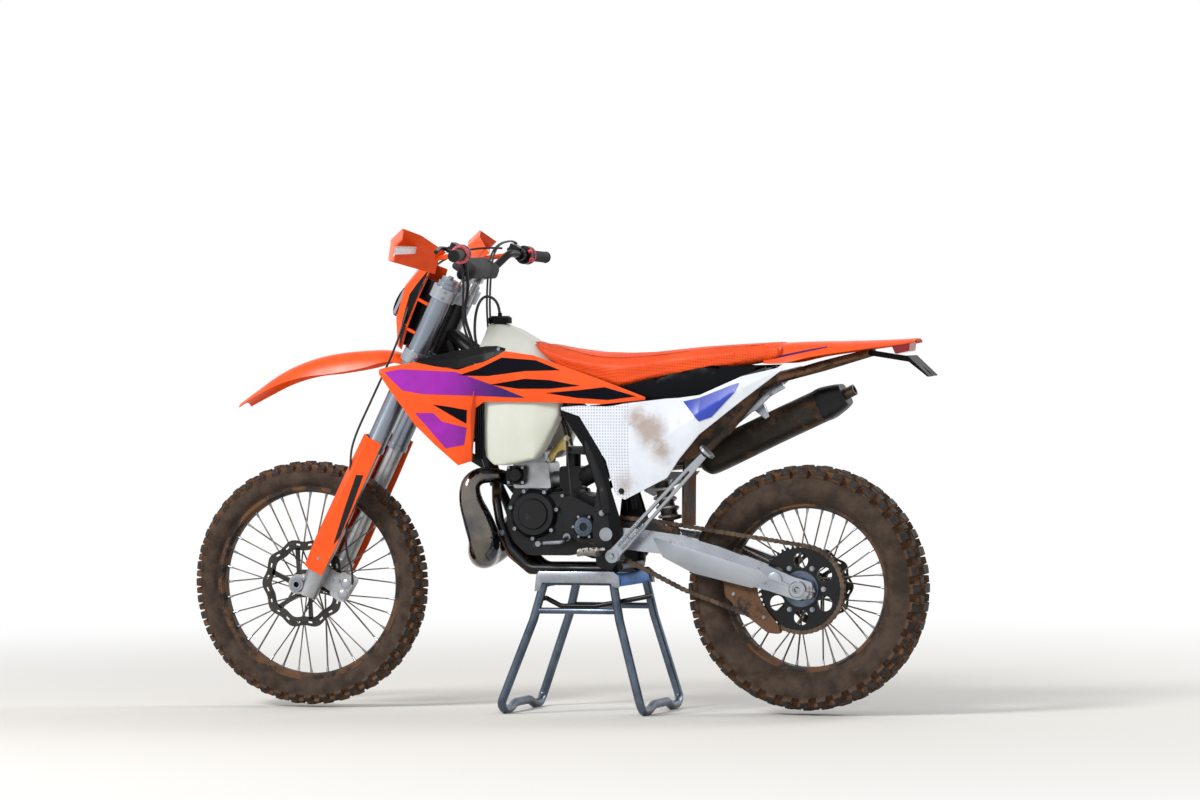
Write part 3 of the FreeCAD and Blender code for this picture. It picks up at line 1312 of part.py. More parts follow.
controls_shape = hand_controls()
add_piece("hand_controls", controls_shape, "steer")


def hand_guards():
    """Open hand guards: a curved shield ahead of each lever, on an arm from the bar."""
    middle = BAR_Z + 30
    rows = (
        # y, x_low, x_middle, x_high, z_low, z_middle, z_high
        (186, 50, 58, 46, -46, 0, 24), (250, 112, 130, 112, -52, 4, 44), (330, 142, 160, 142, -50, 6, 50),
        (404, 104, 118, 108, -32, 4, 32),
    )
    shields = []
    for side in (-1, 1):
        sections = []
        for y, x_low, x_middle, x_high, z_low, z_middle, z_high in rows:
            front = ((x_low, z_low), (x_middle, z_middle), (x_high, z_high))
            points = [Vector(BAR_X + x, side * y, middle + z) for x, z in front]
            points += [Vector(BAR_X + x - WALL, side * y, middle + z) for x, z in reversed(front)]
            sections.append(closed(points))
        shield = Part.makeLoft(sections, True, True)
        arm = bar(bar_end(side, size("Sizes.grip_length") + 62), (BAR_X + 60, side * 191, middle - 4), 7)
        shields.append(fused([shield, arm]).cut(bar_shape))
    return clear_of(Part.makeCompound(shields), [controls_shape, grip_shape])


guards_shape = hand_guards()
add_piece("hand_guards", guards_shape, "steer")


def bar_pad():
    """Foam pad strapped over the bar clamp."""
    outline = ((BAR_X - 38, BAR_Z + 4, 10), (BAR_X - 34, BAR_Z + 46, 14), (BAR_X + 30, BAR_Z + 52, 14),
               (BAR_X + 42, BAR_Z + 8, 10))
    return clear_of(plate(outline, -108, 108), [bar_shape, clamps_shape, controls_shape, guards_shape])


pad_shape = bar_pad()
add_piece("bar_pad", pad_shape, "steer")


def fork_tubes():
    """Outer fork tubes in the clamps, with caps on top."""
    length = size("Sizes.outer_tube_length")
    bore = INNER + 0.05
    pieces = []
    for side in (-1, 1):
        base = Vector(FORK_X, side * FORK_Y, FORK_TOP - length)
        leg = Part.makeCylinder(OUTER, length, base)
        lip = Part.makeCylinder(OUTER + 2, 16, base)
        cap = Part.makeCylinder(OUTER - 5, 14, Vector(FORK_X, side * FORK_Y, FORK_TOP))
        adjuster = Part.makeCylinder(8, 8, Vector(FORK_X, side * FORK_Y, FORK_TOP + 14))
        hollow = Part.makeCylinder(bore, 120, base)
        pieces.append(fused([leg, lip, cap, adjuster]).cut(hollow))
    return Part.makeCompound(pieces)


tubes_shape = fork_tubes()
add_piece("fork_tubes", tubes_shape, "steer")
TUBE_END = FORK_TOP - size("Sizes.outer_tube_length")


def front_axle():
    """Hollow axle with a nut on the left and spacers beside the hub."""
    radius = size("Sizes.axle_radius")
    reach = FORK_Y + 24
    shaft = disc_y(AXLE_X, FORK_FOOT, radius, -reach, reach + 6)
    nut = disc_y(AXLE_X, FORK_FOOT, radius + 7, FORK_Y + 19, FORK_Y + 28)
    spacers = []
    for low, high in ((FRONT_DISC_Y + HALF_DISC + 0.5, FORK_Y - 19), (-FORK_Y + 19, -FRONT_DISC_Y - 0.5)):
        spacers.append(disc_y(AXLE_X, FORK_FOOT, radius + 6, low, high))
    hollow = disc_y(AXLE_X, FORK_FOOT, size("Sizes.axle_bore"), -reach - 1, reach + 8)
    return fused([shaft, nut] + spacers).cut(hollow)


axle_shape = front_axle()
add_piece("front_axle", axle_shape, "steer")


def fork_legs():
    """Inner fork tubes and the cast feet that hold the axle."""
    pieces = []
    radius = size("Sizes.axle_radius")
    for side in (-1, 1):
        middle = side * FORK_Y
        slider = Part.makeCylinder(INNER, TUBE_END + 118 - (FORK_FOOT + 60), Vector(FORK_X, middle, FORK_FOOT + 60))
        foot = Part.makeCylinder(INNER + 5, 104, Vector(FORK_X, middle, FORK_FOOT - 18))
        lug = disc_y(AXLE_X, FORK_FOOT, radius + 15, middle - 19, middle + 19)
        web = Part.makeBox(AXLE_X - FORK_X, 34, 56, Vector(FORK_X, middle - 17, FORK_FOOT - 22))
        axle_hole = disc_y(AXLE_X, FORK_FOOT, radius, middle - 60, middle + 60)
        pieces.append(fused([slider, foot, lug, web]).cut(axle_hole))
    return Part.makeCompound(pieces)


legs_shape = clear_of(fork_legs(), [axle_shape])
add_piece("fork_legs", legs_shape, "steer")


def fork_guards():
    """Plastic guards in front of each inner tube, wrapped round its outer side."""
    rows = (
        # z, half_width, depth
        (TUBE_END + 34, 38, 34), (TUBE_END - 60, 40, 36), (FORK_FOOT + 150, 42, 38), (FORK_FOOT + 60, 40, 34),
    )
    pieces = []
    for side in (-1, 1):
        sections = []
        for z, half, depth in rows:
            front = ((6 - depth, half), (depth * 0.5, half), (depth + 4, half * 0.45), (depth + 4, -half * 0.42),
                     (depth * 0.8, -half * 0.6))
            inner = ((depth * 0.8 - 3, -half * 0.6 + 3), (depth, -half * 0.42 + 1), (depth, half * 0.45 - 1),
                     (depth * 0.5 - 1, half - 4), (6 - depth, half - 4))
            points = [Vector(FORK_X + x, side * (FORK_Y + y), z) for x, y in front + inner]
            sections.append(closed(points))
        pieces.append(Part.makeLoft(sections, True, True))
    lugs = []
    for side in (-1, 1):
        low = FORK_FOOT + 72
        lugs.append(bar((FORK_X, side * FORK_Y, low), (FORK_X, side * (FORK_Y + 38), low), 7))
    shaped = [fused([guard, lug]) for guard, lug in zip(pieces, lugs)]
    return clear_of(Part.makeCompound(shaped), [tubes_shape, legs_shape, axle_shape])


fork_guard_shape = fork_guards()
add_piece("fork_guards", fork_guard_shape, "steer")


def front_brake():
    """Caliper over the rear edge of the disc, on the left leg."""
    y = FRONT_DISC_Y
    x = AXLE_X - 116
    z = FORK_FOOT + 44
    block = plate(((x - 26, z + 40, 12), (x + 22, z + 46, 12), (x + 30, z - 34, 12), (x - 18, z - 40, 12)),
                  y - 15, y + 22)
    slot = disc_y(AXLE_X, FORK_FOOT, size("Sizes.front_disc_radius") + 5, y - 5, y + 5)
    bracket = plate(((x + 10, z + 34, 6), (FORK_X + 2, z + 36, 6), (FORK_X + 2, z - 20, 6), (x + 10, z - 26, 6)),
                    y + 8, y + 20)
    return clear_of(fused([block.cut(slot), bracket]), [legs_shape, fork_guard_shape, axle_shape])


brake_shape = front_brake()
add_piece("front_brake", brake_shape, "steer")


def front_mudguard():
    """Long mudguard under the lower clamp."""
    rows = (
        # x, z, half_width, drop
        (-20, -34, 44, 8), (40, -8, 52, 14), (116, 26, 58, 30), (197, 27, 64, 50), (290, 18, 66, 56),
        (370, -1, 66, 46), (450, -35, 64, 34), (528, -86, 58, 20), (578, -121, 48, 12),
    )
    shell = arched(rows, WALL)
    shell.Placement = Placement(STEER_TURN.inverted().multVec(Vector()), STEER_TURN.inverted())
    mounts = [Part.makeCylinder(9, 14, Vector(FORK_X, side * 30, -CLAMP_HALF - 14)) for side in (-1, 1)]
    return clear_of(fused([shell] + mounts), [clamps_shape, tubes_shape])


mudguard_shape = front_mudguard()
add_piece("front_mudguard", mudguard_shape, "steer")


def headlight_mask():
    """Moulded mask ahead of the clamps, with a window for the lamp."""
    rows = (
        # z, half_width, x_front, x_side
        (FORK_TOP + 10, 70, 140, 98), (160, 92, 160, 92), (70, 98, 144, 84), (-4, 66, 112, 82),
    )
    sections = []
    for z, half, front, back in rows:
        outer = ((back, -half), (front - 14, -half * 0.72), (front, -half * 0.3), (front, half * 0.3),
                 (front - 14, half * 0.72), (back, half))
        points = [Vector(x, y, z) for x, y in outer]
        points += [Vector(x - WALL, y * 0.96, z) for x, y in reversed(outer)]
        sections.append(closed(points))
    shell = Part.makeLoft(sections, True, True)
    window = Part.makeBox(90, 108, 74, Vector(100, -54, 76))
    straps = [bar((FORK_X, side * (FORK_Y - 4), z), (92, side * 84, z), 5) for side in (-1, 1) for z in (60, 150)]
    return clear_of(fused([shell.cut(window)] + straps), [tubes_shape, clamps_shape, mudguard_shape])


mask_shape = headlight_mask()
add_piece("headlight_mask", mask_shape, "steer")


def headlight():
    """Lamp with a curved lens in the mask's window."""
    bowl = tapered(((104, 0, 113, 34), (140, 0, 113, 47), (158, 0, 113, 46)))
    face = Part.makeBox(8, 107.6, 73.6, Vector(144, -53.8, 76.2))
    ridges = [Part.makeCylinder(1.6, 66, Vector(152, y, 80)) for y in (-36, -18, 0, 18, 36)]
    return clear_of(fused([bowl, face] + ridges), [mask_shape])


lamp_shape = headlight()
add_piece("headlight", lamp_shape, "steer")


# Paddock stand

def stand_height():
    """Height of the stand's cross bars, under the bike's cradle tubes."""
    under = size("Sizes.cradle_z - Sizes.cradle_radius + Sizes.lift")
    return under - size("Sizes.roller_radius")


def paddock_frame():
    """Two bent hoops with their feet, joined by top rails, and the front cross bar."""
    radius = size("Sizes.stand_tube_radius")
    half = size("Sizes.stand_half_width")
    foot_y = size("Sizes.stand_foot_y")
    top = stand_height()
    low = radius
    pieces = []
    rail_ends = []
    for top_x, foot_x in (("Sizes.stand_front_x", "Sizes.stand_front_foot_x"),
                          ("Sizes.stand_rear_x", "Sizes.stand_rear_foot_x")):
        head = size(top_x)
        foot = size(foot_x)
        knee = head + 0.25 * (foot - head)
        rail_ends.append(head + (knee - head) * 84 / 110)
        for side in (-1, 1):
            pieces.append(tube([(head, side * (half - 40), top), (head, side * half, top),
                                (knee, side * (half + 12), top - 110), (foot, side * foot_y, low + 18),
                                (foot, side * (foot_y - 26), low), (foot, side * (foot_y - 80), low),
                                (foot, side * 60, low + 14), (foot, 0, low + 14)], radius, 36))
        pieces.append(bar((head, -half + 38, top), (head, half - 38, top), radius))
    for side in (-1, 1):
        pieces.append(bar((size("Sizes.stand_front_x"), side * half, top), (size("Sizes.stand_rear_x"), side * half, top),
                          radius))
        pieces.append(bar((rail_ends[0], side * (half + 9), top - 84), (rail_ends[1], side * (half + 9), top - 84),
                          radius * 0.7))
    return fused(pieces)


paddock_shape = paddock_frame()
add_piece("paddock_frame", paddock_shape, "floor")


def paddock_rollers():
    """Rubber rolls on the cross bars, where the cradle tubes rest."""
    half = size("Sizes.stand_half_width") - 22
    top = stand_height()
    pieces = []
    skid_edge = SKID_HALF + 2
    spans = ((size("Sizes.stand_front_x"), -half, -skid_edge), (size("Sizes.stand_front_x"), skid_edge, half),
             (size("Sizes.stand_rear_x"), -half, half))
    for x, low, high in spans:
        roll = bar((x, low, top), (x, high, top), size("Sizes.roller_radius"))
        pieces.append(roll.cut(paddock_shape))
    return Part.makeCompound(pieces)


add_piece("paddock_rollers", paddock_rollers(), "floor")


def paddock_linkage():
    """Lift linkage: side links between the hoops and a foot lever on the left."""
    top = stand_height()
    half = size("Sizes.stand_half_width")
    front = size("Sizes.stand_front_x")
    rear = size("Sizes.stand_rear_x")
    inside = half - 24
    lever = tube([(front + 4, inside, top - 50), (front - 40, inside, top - 72), (rear + 60, inside, top - 72),
                  (rear - 80, inside, top - 46), (rear - 108, inside, top - 40)], 7, 30)
    pin = bar((front + 4, inside, top - 50), (front + 4, half, top - 50), 7)
    return clear_of(fused([lever, pin]), [paddock_shape])


add_piece("paddock_lever", paddock_linkage(), "floor")


# Every piece is checked before anything is written

doc.recompute()
faulty = [item.Label for item in doc.Objects if "Invalid" in item.State or "Error" in item.State]
if faulty:
    raise RuntimeError(f"failed objects: {faulty}")
broken = [label for label, item in nodes.items()
          if item.Shape.isNull() or not item.Shape.isValid() or not item.Shape.Solids]
if broken:
    raise RuntimeError(f"not valid solids: {broken}")

os.makedirs("parts", exist_ok=True)
for label, item in nodes.items():
    item.Shape.exportStep(f"parts/{label}.step")
print(f"{len(nodes)} sub-parts written")
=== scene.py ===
import json
import math

import bmesh
import bpy
from mathutils import Matrix, Vector
from mathutils.bvhtree import BVHTree

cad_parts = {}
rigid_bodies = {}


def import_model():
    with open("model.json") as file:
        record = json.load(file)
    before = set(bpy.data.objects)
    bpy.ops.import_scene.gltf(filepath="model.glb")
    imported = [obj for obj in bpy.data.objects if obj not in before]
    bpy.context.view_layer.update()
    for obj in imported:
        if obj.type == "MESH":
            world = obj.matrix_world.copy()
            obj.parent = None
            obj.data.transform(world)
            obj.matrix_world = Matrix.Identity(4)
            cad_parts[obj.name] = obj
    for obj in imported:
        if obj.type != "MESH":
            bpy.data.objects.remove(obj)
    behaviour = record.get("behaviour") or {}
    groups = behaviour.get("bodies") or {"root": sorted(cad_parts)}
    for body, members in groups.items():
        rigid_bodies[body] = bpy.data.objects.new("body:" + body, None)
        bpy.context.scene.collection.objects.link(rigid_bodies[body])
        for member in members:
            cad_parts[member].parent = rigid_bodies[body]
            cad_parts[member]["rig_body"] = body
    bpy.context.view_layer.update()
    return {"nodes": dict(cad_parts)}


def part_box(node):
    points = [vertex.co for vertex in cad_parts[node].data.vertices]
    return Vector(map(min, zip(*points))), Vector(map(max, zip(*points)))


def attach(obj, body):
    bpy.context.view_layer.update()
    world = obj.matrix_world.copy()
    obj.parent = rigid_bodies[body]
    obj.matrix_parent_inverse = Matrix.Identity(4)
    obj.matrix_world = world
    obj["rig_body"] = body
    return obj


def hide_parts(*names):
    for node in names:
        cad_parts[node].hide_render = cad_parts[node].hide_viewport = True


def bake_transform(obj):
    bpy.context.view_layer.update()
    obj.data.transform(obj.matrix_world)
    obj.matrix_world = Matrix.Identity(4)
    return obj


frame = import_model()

nodes = frame["nodes"]


# Camera: a long lens on the left side of the motorcycle, a little behind it, at the photograph's angle.
# Its place and lens come from a fit of both wheels, the bars and the stand to the photograph.
CAMERA_PLACE = Vector((-5.3805, 16.173, 1.192))
CAMERA_HEADING = 198.0
CAMERA_PITCH = 1.04
CAMERA_ROLL = -0.34
LENS_MM = 180

camera = bpy.data.objects.new("camera", bpy.data.cameras.new("camera"))
bpy.context.scene.collection.objects.link(camera)
camera.data.lens = LENS_MM
camera.data.sensor_width = 36
camera.matrix_world = (Matrix.Translation(CAMERA_PLACE)
                       @ Matrix.Rotation(math.radians(CAMERA_HEADING), 4, "Z")
                       @ Matrix.Rotation(math.radians(90 - CAMERA_PITCH), 4, "X")
                       @ Matrix.Rotation(math.radians(CAMERA_ROLL), 4, "Z"))
bpy.context.scene.camera = camera
bpy.context.scene.view_settings.view_transform = "Standard"


# Floor and light: a plain pale floor, an even pale sky, one wide soft lamp from the front left and a
# weaker one from behind. Rays that go straight to the camera, or off metal and glass, see white.
LAMPS = (
    # name, place, size, watts
    ("key_lamp", (4.0, 6.5, 6.0), 2.4, 640), ("back_lamp", (-5.0, -4.0, 4.5), 3.0, 180),
)
SKY_LIGHT = 0.5


def linear(colour):
    """The linear values of an sRGB hex colour, for a shader's socket."""
    channels = [int(colour[i:i + 2], 16) / 255 for i in (1, 3, 5)]
    return [c / 12.92 if c <= 0.04045 else ((c + 0.055) / 1.055) ** 2.4 for c in channels] + [1]


def add(tree, kind, settings=None, inputs=None):
    """Adds a node with its settings, and sets or links its inputs."""
    node = tree.nodes.new("ShaderNode" + kind)
    for key, value in (settings or {}).items():
        setattr(node, key, value)
    for key, value in (inputs or {}).items():
        if isinstance(value, bpy.types.NodeSocket):
            tree.links.new(value, node.inputs[key])
        else:
            node.inputs[key].default_value = value
    return node


def plain_view(tree):
    """1 for rays that show the backdrop: from the camera, off metal or through glass."""
    rays = add(tree, "LightPath")
    seen = add(tree, "Math", {"operation": "MAXIMUM"},
               {0: rays.outputs["Is Camera Ray"], 1: rays.outputs["Is Glossy Ray"]})
    return add(tree, "Math", {"operation": "MAXIMUM"},
               {0: seen.outputs[0], 1: rays.outputs["Is Transmission Ray"]}).outputs[0]


world = bpy.data.worlds.new("pale_sky")
bpy.context.scene.world = world
world.use_nodes = True
sky = world.node_tree
sky.nodes.clear()
level = add(sky, "MapRange", {}, {0: plain_view(sky), 3: SKY_LIGHT, 4: 1.0})
background = add(sky, "Background", {}, {"Color": (1, 1, 1, 1), "Strength": level.outputs[0]})
add(sky, "OutputWorld", {}, {"Surface": background.outputs[0]})

for name, place, size, watts in LAMPS:
    lamp = bpy.data.objects.new(name, bpy.data.lights.new(name, "AREA"))
    lamp.data.size = size
    lamp.data.energy = watts
    lamp.location = place
    lamp.rotation_euler = (Vector((0, 0, 0.6)) - Vector(place)).to_track_quat("-Z", "Y").to_euler()
    bpy.context.scene.collection.objects.link(lamp)

floor_mesh = bpy.data.meshes.new("floor")
edit = bmesh.new()
bmesh.ops.create_grid(edit, x_segments=1, y_segments=1, size=40)
edit.to_mesh(floor_mesh)
edit.free()
floor = bpy.data.objects.new("floor", floor_mesh)
bpy.context.scene.collection.objects.link(floor)
plaster = bpy.data.materials.new("pale_floor")
plaster.use_nodes = True
paving = plaster.node_tree
screed = paving.nodes["Principled BSDF"]
screed.inputs["Base Color"].default_value = linear("#e4e2dd")
screed.inputs["Roughness"].default_value = 0.8
# far from the motorcycle the floor runs out into the white of the backdrop
spot = add(paving, "VectorMath", {"operation": "LENGTH"}, {0: add(paving, "TexCoord").outputs["Object"]})
far = add(paving, "MapRange", {"interpolation_type": "SMOOTHSTEP"},
          {0: spot.outputs["Value"], 1: 1.3, 2: 5.0})
far = add(paving, "Math", {"operation": "MULTIPLY"}, {0: far.outputs[0], 1: plain_view(paving)})
white = add(paving, "Emission", {}, {"Color": (1, 1, 1, 1), "Strength": 1.0})
blend = add(paving, "MixShader", {}, {0: far.outputs[0], 1: screed.outputs[0], 2: white.outputs[0]})
paving.links.new(blend.outputs[0], paving.nodes["Material Output"].inputs["Surface"])
floor_mesh.materials.append(plaster)


# Frame: steel tubes welded round the steering head and powder coated, with a bolted subframe and a skid
# plate below. Moulded guards cover its bends. A CAD piece with soft real edges is shown by a rounded copy.
MM = 0.001
BIKE_ORIGIN = Vector((0.006527, 0, 0.008))
LEFT, RIGHT = 1, -1
SIDES = ((LEFT, "left"), (RIGHT, "right"))
MUD, MUD_DARK = "#7b5a42", "#4a3526"
FOLD = 28
skins = {}


def at(x, y, z):
    """A point of the bike in millimetres: x forward from mid wheelbase, z up from under the tyres."""
    return BIKE_ORIGIN + Vector((x, y, z)) * MM


def finish(name, light, dark, grain, gloss, metallic=0.0, bump=0.1, mud=0.0, blotch=60.0, shine=0.5):
    """A material: two tones, roughness from gloss = (low, high), grain and blotches in mm, a share of dried
    mud, and the strength of its reflections."""
    material = bpy.data.materials.new(name)
    material.use_nodes = True
    tree = material.node_tree
    shader = tree.nodes["Principled BSDF"]
    shader.inputs["Metallic"].default_value = metallic
    shader.inputs["Specular IOR Level"].default_value = shine
    place = add(tree, "TexCoord").outputs["Object"]
    wide = add(tree, "TexNoise", {},
               {"Vector": place, "Scale": 1000 / blotch, "Detail": 5.0, "Roughness": 0.6})
    fine = add(tree, "TexNoise", {}, {"Vector": place, "Scale": 1000 / grain, "Detail": 3.0})
    tone = add(tree, "MapRange", {"interpolation_type": "SMOOTHSTEP"}, {0: wide.outputs[0], 1: 0.3, 2: 0.7})
    colour = add(tree, "Mix", {"data_type": "RGBA"}, {0: tone.outputs[0], 6: linear(light), 7: linear(dark)})
    colour = colour.outputs[2]
    rough = add(tree, "MapRange", {},
                {0: wide.outputs[0], 1: 0.3, 2: 0.7, 3: gloss[0], 4: gloss[1]}).outputs[0]
    height = fine.outputs[0]
    if mud:
        splash = add(tree, "TexNoise", {}, {"Vector": place, "Scale": 14.0, "Detail": 9.0, "Roughness": 0.68})
        cover = add(tree, "MapRange", {"interpolation_type": "SMOOTHSTEP"},
                    {0: splash.outputs[0], 1: 0.66 - 0.36 * mud, 2: 0.76 - 0.3 * mud}).outputs[0]
        dirt = add(tree, "Mix", {"data_type": "RGBA"},
                   {0: fine.outputs[0], 6: linear(MUD), 7: linear(MUD_DARK)})
        colour = add(tree, "Mix", {"data_type": "RGBA"}, {0: cover, 6: colour, 7: dirt.outputs[2]}).outputs[2]
        rough = add(tree, "Mix", {}, {0: cover, 2: rough, 3: 0.92}).outputs[0]
        if metallic:
            bare = add(tree, "Math", {"operation": "MULTIPLY_ADD"}, {0: cover, 1: -metallic, 2: metallic})
            tree.links.new(bare.outputs[0], shader.inputs["Metallic"])
        height = add(tree, "Math", {"operation": "MULTIPLY_ADD"}, {0: cover, 1: 0.6, 2: height}).outputs[0]
    relief = add(tree, "Bump", {}, {"Height": height, "Strength": bump, "Distance": 0.0015})
    tree.links.new(colour, shader.inputs["Base Color"])
    tree.links.new(rough, shader.inputs["Roughness"])
    tree.links.new(relief.outputs[0], shader.inputs["Normal"])
    return material


def dress(material, *names):
    """Gives CAD nodes a finish."""
    for name in names:
        mesh = nodes[name].data
        mesh.materials.clear()
        mesh.materials.append(material)


def place_mesh(name, edit, material, body, crease=35):
    """Turns an edited mesh into a piece that rides on a body."""
    mesh = bpy.data.meshes.new(name)
    bmesh.ops.recalc_face_normals(edit, faces=edit.faces)
    edit.to_mesh(mesh)
    edit.free()
    mesh.materials.append(material)
    mesh.shade_smooth()
    mesh.set_sharp_from_angle(angle=math.radians(crease))
    made = bpy.data.objects.new(name, mesh)
    bpy.context.scene.collection.objects.link(made)
    if body:
        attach(made, body)
    return made


def rounded(node, material, width=1.5, second=None, where=None, trim=None):
    """A copy of a CAD node's surface with rounded edges, standing for it. Faces where a test holds get a
    second finish. trim = (point, normal) cuts off what lies beyond a plane."""
    edit = bmesh.new()
    edit.from_mesh(nodes[node].data)
    bmesh.ops.remove_doubles(edit, verts=edit.verts, dist=0.00002)
    if trim:
        cut = bmesh.ops.bisect_plane(edit, geom=edit.verts[:] + edit.edges[:] + edit.faces[:],
                                     plane_co=trim[0],
                                     plane_no=trim[1], clear_outer=True)["geom_cut"]
        bmesh.ops.holes_fill(edit, edges=[item for item in cut if isinstance(item, bmesh.types.BMEdge)])
    bmesh.ops.dissolve_limit(edit, angle_limit=math.radians(0.1), verts=edit.verts, edges=edit.edges)
    for face in edit.faces:
        if second and where(face.calc_center_median()):
            face.material_index = 1
    skin = place_mesh(node + "_skin", edit, material, nodes[node]["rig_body"], FOLD)
    if second:
        skin.data.materials.append(second)
    edge = skin.modifiers.new("edge", "BEVEL")
    edge.width = width * MM
    edge.segments = 2
    edge.limit_method = "ANGLE"
    edge.angle_limit = math.radians(FOLD)
    edge.harden_normals = True
    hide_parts(node)
    skins[node] = skin
    return skin


# powder coat on steel: dark, slightly blue and satin, with a fine orange peel
black_coat = finish("black_powder_coat", "#111216", "#0a0b0d", 0.7, (0.28, 0.42), bump=0.06, mud=0.1,
                    shine=0.28)
# polypropylene coloured right through: satin and dark, and under the bike caked with dried mud
black_plastic = finish("black_polypropylene", "#0e0f12", "#0a0b0d", 1.0, (0.32, 0.46), bump=0.05, shine=0.1)
muddy_black = finish("black_polypropylene_muddy", "#1c1a17", "#121110", 1.4, (0.5, 0.7), bump=0.25, mud=0.7,
                     shine=0.3)
# zinc plated steel of bolts and axles: a grey metal with soft highlights
zinc_steel = finish("zinc_plated_steel", "#a3a7ad", "#80858d", 3.0, (0.22, 0.4), metallic=1.0, bump=0.06,
                    mud=0.06)
for node in ("frame", "subframe"):
    rounded(node, black_coat, 0.8)
rounded("frame_guards", black_plastic, 4.0)
dress(muddy_black, "skid_plate")
dress(zinc_steel, "pivot_bolt")


# Engine: die-cast cases under black paint, a bare cast cylinder, and a slide carburettor on rubber. Zinc
# plated screws hold each cover, and a golden anodised stay ties the head to the frame. Small parts that
# repeat are made once as a pattern and stamped wherever the real part sits.
ACROSS = Vector((0, 1, 0))
trees = {}


def pattern(build):
    """A small mesh that a function builds, for stamping."""
    edit = bmesh.new()
    build(edit)
    bmesh.ops.recalc_face_normals(edit, faces=edit.faces)
    mesh = bpy.data.meshes.new(build.__name__)
    edit.to_mesh(mesh)
    edit.free()
    return mesh


def stamp(edit, mesh, matrix):
    """Adds a copy of a pattern, moved by the matrix."""
    copy = mesh.copy()
    copy.transform(matrix)
    edit.from_mesh(copy)
    bpy.data.meshes.remove(copy)


def aim(point, out, scale=1.0):
    """The matrix that stands a pattern on a point, its top facing out."""
    turn = out.to_track_quat("Z", "Y").to_matrix().to_4x4()
    return Matrix.Translation(point) @ turn @ Matrix.Scale(scale, 4)


def hex_bolt(edit):
    """Flanged hexagon head of unit radius."""
    for segments, low_radius, top_radius, depth, middle in ((20, 1.0, 0.9, 0.24, 0.12),
                                                            (6, 0.68, 0.66, 0.6, 0.5)):
        bmesh.ops.create_cone(edit, cap_ends=True, segments=segments, radius1=low_radius, radius2=top_radius,
                              depth=depth, matrix=Matrix.Translation((0, 0, middle)))


def socket_screw(edit):
    """Round head of unit radius with a six-sided socket."""
    bmesh.ops.create_cone(edit, cap_ends=True, segments=18, radius1=1.0, radius2=0.92, depth=0.8,
                          matrix=Matrix.Translation((0, 0, 0.4)))
    edit.faces.ensure_lookup_table()
    top = max(edit.faces, key=lambda face: face.calc_center_median().z)
    bmesh.ops.inset_individual(edit, faces=[top], thickness=0.42)
    sunk = bmesh.ops.extrude_discrete_faces(edit, faces=[top])["faces"]
    bmesh.ops.translate(edit, vec=(0, 0, -0.4), verts=sunk[0].verts)


def surface(node):
    """A search tree of a piece's faces, for setting small pieces down on it."""
    if node not in trees:
        edit = bmesh.new()
        edit.from_mesh((skins.get(node) or nodes[node]).data)
        bmesh.ops.triangulate(edit, faces=edit.faces)
        trees[node] = BVHTree.FromBMesh(edit)
        edit.free()
    return trees[node]


def seats(node, side, rows, place=at):
    """Where fasteners at x and z, with a head's radius, stand on the side of a node."""
    found = []
    for x, z, radius in rows:
        hit = surface(node).ray_cast(place(x, side * 600, z), Vector((0, -side, 0)))[0]
        if hit is None:
            print("no seat on", node, x, z)
            continue
        found.append((hit - Vector((0, side * 0.2 * MM, 0)), Vector((0, side, 0)), radius))
    return found


def both_seats(node, rows, place=at):
    """The same fasteners on the left and the right side."""
    return seats(node, LEFT, rows, place) + seats(node, RIGHT, rows, place)


def arc(x, z, radius, degrees):
    """Points of x and z on a circle, at angles in degrees."""
    return [(x + radius * math.cos(math.radians(angle)), z + radius * math.sin(math.radians(angle)))
            for angle in degrees]


def ring(x, z, reach, count, radius, first=0):
    """Rows of fasteners on a circle."""
    angles = [first + 360 * index / count for index in range(count)]
    return [(*spot, radius) for spot in arc(x, z, reach, angles)]


def fasten(name, mesh, places, body, material=zinc_steel):
    """One piece of like fasteners. A place is a point, the way that its head faces and its radius."""
    edit = bmesh.new()
    for point, out, radius in places:
        stamp(edit, mesh, aim(point, out, radius * MM))
    return place_mesh(name, edit, material, body, 30)


def turned(edit, rows, steps, point, out):
    """A part turned on a lathe from rows of height and radius in millimetres, stood on a point. Rows that
    begin off the axis close on themselves."""
    piece = bmesh.new()
    points = [piece.verts.new((radius * MM, 0, height * MM)) for height, radius in rows]
    ends = points[1:] + points[:1] if rows[0][1] else points[1:]
    edges = [piece.edges.new(pair) for pair in zip(points, ends)]
    bmesh.ops.spin(piece, geom=points + edges, cent=(0, 0, 0), axis=(0, 0, 1), angle=math.tau, steps=steps,
                   use_merge=True)
    bmesh.ops.remove_doubles(piece, verts=piece.verts, dist=0.000001)
    bmesh.ops.recalc_face_normals(piece, faces=piece.faces)
    mesh = bpy.data.meshes.new("turned")
    piece.to_mesh(mesh)
    piece.free()
    stamp(edit, mesh, aim(point, out))


def pull(edit, faces, shift):
    """Pulls faces out by a shift and gives back the corners that moved."""
    made = bmesh.ops.extrude_face_region(edit, geom=faces)["geom"]
    moved = [item for item in made if isinstance(item, bmesh.types.BMVert)]
    bmesh.ops.translate(edit, vec=shift, verts=moved)
    return moved


def slab(edit, outline, y_from, y_to, place=at, edge=0.8):
    """A plate cut to an outline of x and z between two widths, with eased edges."""
    low, high = sorted((y_from, y_to))
    face = edit.faces.new([edit.verts.new(place(x, low, z)) for x, z in outline])
    top = pull(edit, [face], (0, (high - low) * MM, 0))
    edges = list({line for vertex in top for line in vertex.link_edges})
    bmesh.ops.bevel(edit, geom=edges, offset=edge * MM, segments=2, affect="EDGES", profile=0.5, material=-1)


hex_bolt, socket_screw = pattern(hex_bolt), pattern(socket_screw)
# die-cast aluminium, bead blasted: pale grey with soft, broken highlights
cast_alloy = finish("cast_aluminium", "#b4b6b9", "#95979a", 0.8, (0.26, 0.42), metallic=0.85, bump=0.1,
                    mud=0.1)
